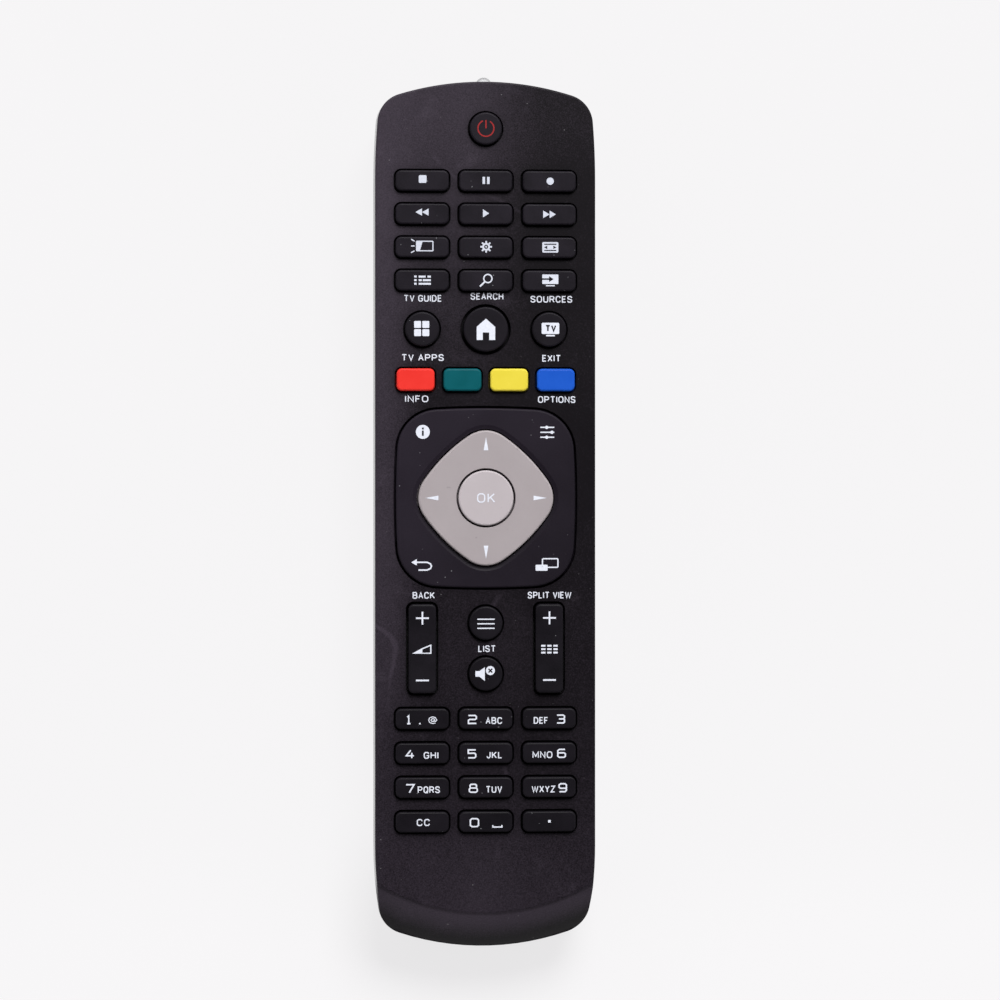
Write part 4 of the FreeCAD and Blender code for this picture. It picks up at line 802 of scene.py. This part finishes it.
def written(text, left, right, base, height, stroke=0.25):
    """Signs drawn in strokes of one width, spread between two edges."""
    widths = [SIGN_WIDTHS.get(sign, LETTER_WIDTH) for sign in text]
    scale = (right - left - stroke) / (sum(widths) + LETTER_SPACE * (len(text) - 1))
    shapes = []
    start = left + stroke / 2
    for sign, width in zip(text, widths):
        for line in STROKES.get(sign, ()):
            closed = line[-1] is True
            spread = [(start + u * width * scale, base + stroke / 2 + v * (height - stroke))
                      for u, v in (line[:-1] if closed else line)]
            shapes += ribbon(spread, stroke, closed)
        start += (width + LETTER_SPACE) * scale
    return shapes


def printed(name, body, x, y, z, shapes, ink, depth=INK):
    """A thin layer of ink on a flat surface, its places given from a point on it."""
    mesh = bmesh.new()
    for number, shape in enumerate(shapes):
        # Shapes that cross stand at different heights, so that no two tops lie in one plane
        lift = z + depth + number % LAYERS * LAYER
        low = [mesh.verts.new(((x + u) * MM, (y + v) * MM, (z - depth) * MM)) for u, v in shape]
        high = [mesh.verts.new(((x + u) * MM, (y + v) * MM, lift * MM)) for u, v in shape]
        count = len(shape)
        mesh.faces.new(low[::-1])
        mesh.faces.new(high)
        for k in range(count):
            mesh.faces.new((low[k], low[(k + 1) % count], high[(k + 1) % count], high[k]))
    bmesh.ops.recalc_face_normals(mesh, faces=mesh.faces)
    piece = meshed(name, mesh)
    piece.data.materials.append(ink)
    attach(piece, body)
    return piece


pale_ink, shade, shader = material("pale_ink", Roughness=0.55, Specular_IOR_Level=0.3)
spot = place(shade)
# The pale ink is a little uneven in tone and darker towards the top end.
top_dim = spot.axis(1).above(0.045, 0.065)
ink_tone = spot.noise(1500, 3.0, 0.7) - top_dim * 0.45
drive(shader, Base_Color=ink_tone.between(linear(196, 200, 212), linear(236, 239, 248)))
red_ink, shade, shader = material("red_ink", Roughness=0.55, Specular_IOR_Level=0.3)
spot = place(shade)
ink_tone = spot.noise(1500, 3.0, 0.7)
drive(shader, Base_Color=ink_tone.between(linear(122, 15, 17), linear(156, 27, 28)))

NUMBER_KEYS = {
    "key_1": (("1", -3.69, -2.60), ()),
    "key_2": (("2", -4.23, -2.07), ("ABC", -0.07, 3.76)),
    "key_3": (("3", 1.62, 3.68), ("DEF", -3.65, -0.31)),
    "key_4": (("4", -3.91, -1.82), ("GHI", 0.31, 3.72)),
    "key_5": (("5", -4.27, -2.21), ("JKL", 0.16, 3.76)),
    "key_6": (("6", 1.80, 3.89), ("MNO", -3.93, 0.71)),
    "key_7": (("7", -3.91, -1.76), ("PQRS", -1.08, 4.07)),
    "key_8": (("8", -4.02, -1.86), ("TUV", -0.02, 3.76)),
    "key_9": (("9", 2.10, 4.12), ("WXYZ", -4.12, 1.36)),
    "key_0": (("0", -3.78, -1.56), ()),
}
STROKES["Q"] = STROKES["O"] + [[(0.6, 0.26), (1, -0.06)]]
signs = {}
for node, (number, letters) in NUMBER_KEYS.items():
    signs[node] = written(*number, BASELINE, DIGIT_HEIGHT, DIGIT_STROKE)
    if letters:
        signs[node] += written(*letters, BASELINE, LETTER_HEIGHT)
signs["key_1"] += boxed(-0.75, BASELINE, -0.4, BASELINE + 0.35)
signs["key_1"] += written("@", 1.35, 3.42, -1.15, 1.75, 0.2)
signs["key_0"] += ribbon([(1.6, -0.75), (1.6, -1.2), (3.7, -1.2), (3.7, -0.75)], 0.3)
signs["key_dot"] = boxed(-0.3, -0.25, 0.3, 0.35)
signs["key_captions"] = written("CC", -1.3, 1.75, -0.85, 1.62)


def triangle(tip, back, half, y=0.0):
    """A triangle with its tip and its back at these places across."""
    return [[(tip, y), (back, y + half), (back, y - half)][::1 if tip < back else -1]]


signs["key_stop"] = [bar_plan(1.8, 1.8, 0.3, 0.07, 0.3)]
signs["key_pause"] = boxed(-0.8, -0.75, -0.2, 0.9) + boxed(0.25, -0.75, 0.85, 0.9)
signs["key_record"] = dot(0.2, 0.0, 0.84, 32)
signs["key_rewind"] = triangle(-1.6, -0.08, 0.85, 0.35) + triangle(-0.08, 1.45, 0.85, 0.35)
signs["key_play"] = triangle(0.75, -0.7, 0.95, 0.15)
signs["key_forward"] = triangle(1.5, 0.05, 0.88, 0.0) + triangle(0.05, -1.45, 0.88, 0.0)

# Lamp: a screen, a third of it bright, with rays at its side
signs["key_lamp"] = framed(3.8, 2.2, 0.15, 0.26, 0.55, 0.2)
signs["key_lamp"] += [[(-1.3, -0.85), (-0.55, -0.85), (0.05, 1.25), (-1.3, 1.25)]]
for v, w in ((1.3, 1.75), (0.2, 0.2), (-0.9, -1.35)):
    signs["key_lamp"] += ribbon([(-1.8, v), (-2.6, w)], 0.26)
# Settings: a toothed wheel
signs["key_settings"] = circled(1.4, 0.42, 0.05, 0.1)
for k in range(8):
    a = k * math.pi / 4
    signs["key_settings"] += ribbon([(0.05 + r * math.cos(a), 0.1 + r * math.sin(a))
                                     for r in (0.8, 1.36)], 0.38)
signs["key_settings"] += dot(0.05, 0.1, 0.2, 12)
# Picture shape: a screen, on which dark arrows point out to its sides
signs["key_picture"] = [bar_plan(3.75, 2.45, 0.3, 0.22, 0.05)]
# Search: a lens and its handle
signs["key_search"] = circled(1.9, 0.3, 0.45, 0.45)
signs["key_search"] += ribbon([(-0.25, -0.3), (-1.4, -1.4)], 0.38)
# Sources: a screen on a foot, which an arrow enters; guide: three rows of short lines,
# whose first dots are a piece of their own
signs["key_source"] = [bar_plan(3.75, 2.2, 0.15, 0.22, 0.35)] + boxed(-0.8, -1.28, 1.25, -1.03)
signs["key_guide"] = (boxed(-0.85, 0.6, 0.75, 1.05) + boxed(1.18, 0.6, 1.97, 1.05)
                      + boxed(-0.85, -0.23, -0.14, 0.22) + boxed(0.1, -0.23, 1.97, 0.22)
                      + boxed(-0.85, -1.06, 1.97, -0.61))
# Home: a plain house with a door
signs["key_home"] = [[(-2.15, 0.55), (0.0, 2.45), (2.15, 0.55)][::-1]]
signs["key_home"] += boxed(-2.15, -2.5, -0.75, 0.6) + boxed(0.75, -2.5, 2.15, 0.6)
signs["key_home"] += boxed(-0.76, -0.75, 0.76, 0.6)
# Apps: four tiles; exit: a screen on a foot
signs["key_apps"] = []
for u in (-0.95, 0.95):
    for v in (-0.95, 0.95):
        signs["key_apps"].append(bar_plan(1.6, 1.6, 0.2, u - 0.15, v + 0.1))
signs["key_exit"] = [bar_plan(4.1, 2.6, 0.3, 0.25, 0.25)] + boxed(-0.75, -1.6, 1.25, -1.25)
# List: three lines; mute: a loudspeaker and a disc with a cross
signs["key_list"] = []
for v in (0.9, -0.15, -1.2):
    signs["key_list"] += boxed(-2.0, v - 0.14, 2.0, v + 0.14)
signs["key_mute"] = [[(-2.45, -0.6), (-1.5, -0.6), (-1.5, 0.7), (-2.45, 0.7)],
                     [(-1.52, -0.6), (-0.25, -1.6), (-0.25, 1.6), (-1.52, 0.7)],
                     *dot(1.03, 0.8, 1.05, 28)]
# Dark marks on the pale ones: arrows, a picture's frame, letters and a cross
dark_signs = {
    "key_source": boxed(-1.7, 0.22, 0.1, 0.56) + triangle(0.95, -0.05, 0.65, 0.39),
    "key_picture": (boxed(-1.2, 0.66, 1.62, 0.88) + boxed(-1.2, -0.78, 1.62, -0.56)
                    + triangle(-1.2, -0.5, 0.36, 0.05) + triangle(1.62, 0.92, 0.36, 0.05)),
    "key_exit": written("TV", -0.95, 1.6, -0.5, 1.55, 0.34),
    "key_mute": (ribbon([(0.6, 1.23), (1.46, 0.37)], 0.3)
                 + ribbon([(0.6, 0.37), (1.46, 1.23)], 0.3)),
}


def marks_tree():
    """A node tree that fills a grid with bars: its counts, pitches and bar sizes are inputs."""
    tree = bpy.data.node_groups.new("bar_grid", "GeometryNodeTree")
    tree.interface.new_socket("Geometry", in_out="INPUT", socket_type="NodeSocketGeometry")
    names = {}
    for name, kind in (("Columns", "NodeSocketInt"), ("Rows", "NodeSocketInt"),
                       ("Column pitch", "NodeSocketFloat"), ("Row pitch", "NodeSocketFloat"),
                       ("Bar size", "NodeSocketVector"), ("Place", "NodeSocketVector"),
                       ("Material", "NodeSocketMaterial")):
        names[name] = tree.interface.new_socket(name, in_out="INPUT", socket_type=kind).identifier
    tree.interface.new_socket("Geometry", in_out="OUTPUT", socket_type="NodeSocketGeometry")
    inputs = tree.nodes.new("NodeGroupInput").outputs
    given = {name: Shade(tree, inputs[name]) for name in names}
    start = Shade(tree)
    grid = start.node("GeometryNodeMeshGrid", {
        "Size X": (given["Columns"] - 1) * given["Column pitch"], "Vertices X": given["Columns"],
        "Size Y": (given["Rows"] - 1) * given["Row pitch"], "Vertices Y": given["Rows"]})
    bar = start.node("GeometryNodeMeshCube", {"Size": given["Bar size"]})
    spread = start.node("GeometryNodeInstanceOnPoints", {"Points": grid, "Instance": bar})
    real = start.node("GeometryNodeRealizeInstances", {0: spread})
    moved = start.node("GeometryNodeTransform", {"Geometry": real, "Translation": given["Place"]})
    inked = start.node("GeometryNodeSetMaterial", {
        "Geometry": moved, "Material": given["Material"]})
    tree.links.new(inked.socket, tree.nodes.new("NodeGroupOutput").inputs[0])
    return tree, names


bar_grid, grid_inputs = marks_tree()


def bars(name, columns, rows, pitch, size, at, height):
    """A grid of like bars of ink, laid out by the node tree, as a plain mesh."""
    piece = meshed(name, bmesh.new())
    step = piece.modifiers.new("grid", "NODES")
    step.node_group = bar_grid
    values = {"Columns": columns, "Rows": rows, "Column pitch": pitch[0] * MM,
              "Row pitch": pitch[1] * MM, "Bar size": (size[0] * MM, size[1] * MM, 2 * INK * MM),
              "Place": (at[0] * MM, at[1] * MM, height * MM), "Material": pale_ink}
    for key, value in values.items():
        step[grid_inputs[key]] = value
    applied(piece, step)
    return piece


def seat_of(node, sunk=0.0):
    """The middle of a node's top, or a point so far below it."""
    return *middle_of(node), top_of(node) - sunk


for node, shapes in signs.items():
    x, y, top = seat_of(node)
    printed(node + "_sign", node, x, y, top, shapes, pale_ink)
    if node in dark_signs:
        printed(node + "_dark_sign", node, x, y, top + DARK_LIFT, dark_signs[node], key_rubber)

arc = turned((0, 0), 1.85, math.radians(112), math.radians(428), 40)
printed("key_power_sign", "key_power", *seat_of("key_power"),
        ribbon(arc, 0.31) + boxed(-0.16, 0.0, 0.16, 1.9), red_ink)

x, y, top = seat_of("key_guide")
piece = bars("key_guide_dots", 1, 3, (1.0, 0.83), (0.56, 0.45), (x - 1.6, y), top)
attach(piece, "key_guide")
x, y, top = seat_of("channel_rocker", ROCKER_HOLLOW)
piece = bars("channel_rocker_grid", 3, 3, (1.42, 0.79), (1.0, 0.42), (x, y - 0.17), top)
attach(piece, "channel_rocker")

for node in ROCKERS:
    low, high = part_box(node)
    sunk = hollow_at(7.5 / ((high.y - low.y) / 2 / MM))
    shapes = boxed(-1.5, 6.9, 1.5, 7.28) + boxed(-0.19, 5.6, 0.19, 8.6)
    shapes += boxed(-1.5, -7.5, 1.5, -7.12)
    printed(node + "_signs", node, *seat_of(node, sunk), shapes, pale_ink, 0.08)
wedge = ribbon([(-2.1, -1.02), (1.95, -1.02), (1.95, 0.83), (-0.1, -0.02)], 0.28, True)
wedge += [[(-2.1, -1.12), (0.0, -1.12), (0.0, 0.13)]]
printed("volume_rocker_wedge", "volume_rocker", *seat_of("volume_rocker", ROCKER_HOLLOW),
        wedge, pale_ink, 0.05)

shapes = []
for turn in range(4):
    a = turn * math.pi / 2
    out, side = Vector((math.cos(a), math.sin(a))), Vector((-math.sin(a), math.cos(a)))
    shapes.append([out * 14.1, out * 11.05 + side * 0.55, out * 11.05 - side * 0.55])
printed("navigation_ring_signs", "navigation_ring", pad_x, pad_y, ring_top, shapes, pale_ink)
printed("key_ok_sign", "key_ok", pad_x, pad_y, ok_top,
        written("OK", -2.1, 2.1, -1.1, 2.2, 0.29), pale_ink)

# Marks in the corners of the plate: information, settings, back and a split screen
shapes = dot(-14.6, 15.3, 1.62, 36)
for v, knob in ((16.4, 14.2), (15.25, 15.4), (14.1, 14.2)):
    shapes += boxed(12.7, v - 0.15, 15.95, v + 0.15)
    shapes += dot(knob, v, 0.38, 20)
shapes += ribbon([(-16.3, -14.9), (-13.6, -14.9), (-12.85, -15.25), (-12.6, -15.8),
                  (-12.85, -16.35), (-13.6, -16.7), (-15.6, -16.7)], 0.34)
shapes += triangle(-17.3, -16.0, 0.75, -14.9)
shapes += framed(3.6, 2.0, 0.25, 0.3, 15.0, -15.1) + [bar_plan(2.8, 1.4, 0.2, 13.0, -16.2)]
printed("corner_plate_signs", "corner_plate", pad_x, pad_y, plate_top, shapes, pale_ink)
shapes = boxed(-14.8, 14.4, -14.4, 15.6) + boxed(-14.8, 15.9, -14.4, 16.3)
printed("corner_plate_dark_sign", "corner_plate", pad_x, pad_y, plate_top + DARK_LIFT, shapes,
        key_rubber)

# Plain words on the face, by the keys that they name
FACE_WORDS = (
    ("TV GUIDE", -18.97, -10.2, 48.9), ("SEARCH", -3.5, 4.15, 49.4),
    ("SOURCES", 10.45, 20.2, 48.8), ("TV APPS", -19.5, -9.7, 35.17),
    ("EXIT", 13.2, 17.5, 35.08), ("INFO", -18.7, -13.3, 25.6),
    ("OPTIONS", 12.2, 20.95, 25.5), ("BACK", -16.95, -11.8, -19.95),
    ("SPLIT VIEW", 9.8, 20.0, -19.95), ("LIST", -1.7, 2.35, -32.35),
)
shapes = []
for text, left, right, base in FACE_WORDS:
    shapes += written(text, left, right, base, WORD_HEIGHT)
printed("face_words", "casing", 0, 0, face, shapes, pale_ink)


# Infrared diode. A clear moulded dome that stands out of the nose, on a collar inside.
lens_axis, lens_radius, lens_length, lens_setback, collar = 15.0, 2.0, 6.2, 0.5, 0.5
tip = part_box("ir_led")[1].y / MM - lens_setback
base = tip - lens_length
profile = [(0.01, base), (lens_radius + collar, base), (lens_radius + collar, base + collar),
           (lens_radius, base + collar), (lens_radius, tip - lens_radius)]
profile += [(lens_radius * math.cos(a), tip - lens_radius + lens_radius * math.sin(a))
            for a in [math.pi / 2 * k / 10 for k in range(1, 10)]]
profile.append((0.01, tip))
lens = skinned("ir_led_lens", [[(u, run, lens_axis + v) for u, v in dot(0, 0, radius, 40)[0]]
                               for radius, run in profile])
smoothed(lens, CAP_SHARP)
clear_lens, shade, shader = material("clear_lens", IOR=1.25, Transmission_Weight=0.92, Alpha=0.5)
spot = place(shade)
haze = spot.noise(400, 2.0)
drive(shader, Base_Color=haze.between(linear(228, 230, 234), linear(246, 247, 250)),
      Roughness=haze * 0.06 + 0.05)
lens.data.materials.append(clear_lens)
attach(lens, "casing")
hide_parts("ir_led")


# Parts inside. The board, its contacts and parts, the rubber mat and frames, the cells
# and the battery contacts keep their CAD form and get a surface of their own.
INSIDE = {
    "silicone": (("key_mat", "ring_rocker", "plate_rocker"), (26, 25, 27), (34, 33, 36),
                 0.6, 0.0, 900),
    "board": (("circuit_board",), (28, 84, 50), (38, 102, 62), 0.35, 0.0, 700),
    "carbon": (("contact_pads",), (24, 24, 25), (36, 36, 38), 0.6, 0.0, 2500),
    "chip_black": (("controller_chip", "transistor"), (26, 26, 28), (38, 38, 40), 0.5, 0.0, 2500),
    "ceramic": (("resonator", "smd_parts"), (172, 132, 62), (194, 154, 84), 0.45, 0.0, 1800),
    "can_metal": (("capacitor",), (150, 154, 160), (178, 182, 188), 0.32, 0.9, 1200),
    "cell_wrap": (("battery_1", "battery_2"), (96, 102, 108), (116, 122, 128), 0.3, 0.7, 400),
    "spring_steel": (("negative_contact", "positive_contact", "bridge_contact"),
                     (176, 174, 168), (204, 202, 196), 0.28, 1.0, 1500),
}
for slot, (nodes, deep, bright, rough, metal, scale) in INSIDE.items():
    surface, shade, shader = material(slot, Metallic=metal)
    spot = place(shade)
    cloud = spot.noise(scale, 3.0, 0.6)
    drive(shader, Base_Color=cloud.between(linear(*deep), linear(*bright)),
          Roughness=cloud * 0.15 + rough - 0.07,
          Normal=grained(shade, cloud, 0.00002, 0.3))
    for node in nodes:
        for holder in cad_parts[node].material_slots:
            holder.material = surface


# Floor and light. A pale floor without an edge in view, soft light from the upper left
# and a dim sky overhead, so that black plastic stays black.
FLOOR_HALF = 3.0
floor_mesh = bmesh.new()
bmesh.ops.create_grid(floor_mesh, x_segments=8, y_segments=8, size=FLOOR_HALF)
floor = meshed("floor", floor_mesh)
floor_white, shade, shader = material("floor_white", Roughness=0.9, Specular_IOR_Level=0.1)
pale = place(shade).noise(3, 2.0).between(linear(242, 241, 242), linear(246, 245, 246))
drive(shader, Base_Color=pale)
# Seen straight on, most of the floor's tone is a plain glow, so that its shadows stay faint
glow = shade.node("Emission", {"Color": pale, "Strength": 1.01})
rays = [shade.node("LightPath", output=ray)
        for ray in ("Is Camera Ray", "Is Glossy Ray", "Is Transmission Ray")]
near_foot = (place(shade).axis(1) * -1.0).above(0.07, 0.105)
seen = (rays[0] + rays[1] + rays[2]).at_most(1.0) * (0.95 - near_foot * 0.14)
mixed = shade.node("MixShader", {0: seen, 2: glow})
shade.tree.links.new(shader.outputs[0], mixed.socket.node.inputs[1])
shade.tree.links.new(mixed.socket, shade.tree.nodes["Material Output"].inputs["Surface"])
floor.data.materials.append(floor_white)

world = bpy.data.worlds.new("studio")
bpy.context.scene.world = world
world.use_nodes = True
sky = world.node_tree.nodes["Background"]
shade = Shade(world.node_tree)
toward = shade.node("TexCoord", output=0)
side, front, rise = (toward.axis(k) for k in range(3))
low_dim = rise.above(-0.1, 0.45) * 0.55 + 0.45
glow = (1.0 - rise.above(0.4, 0.9)) * low_dim * (front * 0.2 - side * 0.12 + 0.92) + 0.05
# Behind the floor's far edge the camera sees plain white
seen = (shade.node("LightPath", output="Is Camera Ray")
        + shade.node("LightPath", output="Is Transmission Ray"))
glow = glow * (1.0 - seen) + seen * 0.88
world.node_tree.links.new(glow.socket, sky.inputs["Strength"])
sky.inputs["Color"].default_value = (1.0, 0.985, 1.0, 1.0)

LAMP_SIZE, LAMP_POWER, LAMP_PLACE = 1.0, 44, Vector((0.3, 1.3, 1.5))
lamp = bpy.data.lights.new("window", "AREA")
lamp.shape = "DISK"
lamp.size = LAMP_SIZE
lamp.energy = LAMP_POWER
holder = bpy.data.objects.new("window", lamp)
holder.location = LAMP_PLACE
holder.rotation_euler = (-LAMP_PLACE).to_track_quat("-Z", "Y").to_euler()
bpy.context.scene.collection.objects.link(holder)

# Camera. It looks straight at the key face from a little to its left.
AIM = Vector((3.36, 2.93, 22.0)) * MM
DISTANCE, SHOWN, SENSOR = 0.8, 0.23215, 36
yaw = math.radians(4.15)
view = bpy.data.cameras.new("camera")
view.sensor_width = SENSOR
view.lens = SENSOR * DISTANCE / SHOWN
camera = bpy.data.objects.new("camera", view)
camera.location = AIM + Vector((-math.sin(yaw), 0, math.cos(yaw))) * DISTANCE
camera.rotation_euler = (0, -yaw, 0)
bpy.context.scene.collection.objects.link(camera)
bpy.context.scene.camera = camera
bpy.context.scene.view_settings.view_transform = "Standard"
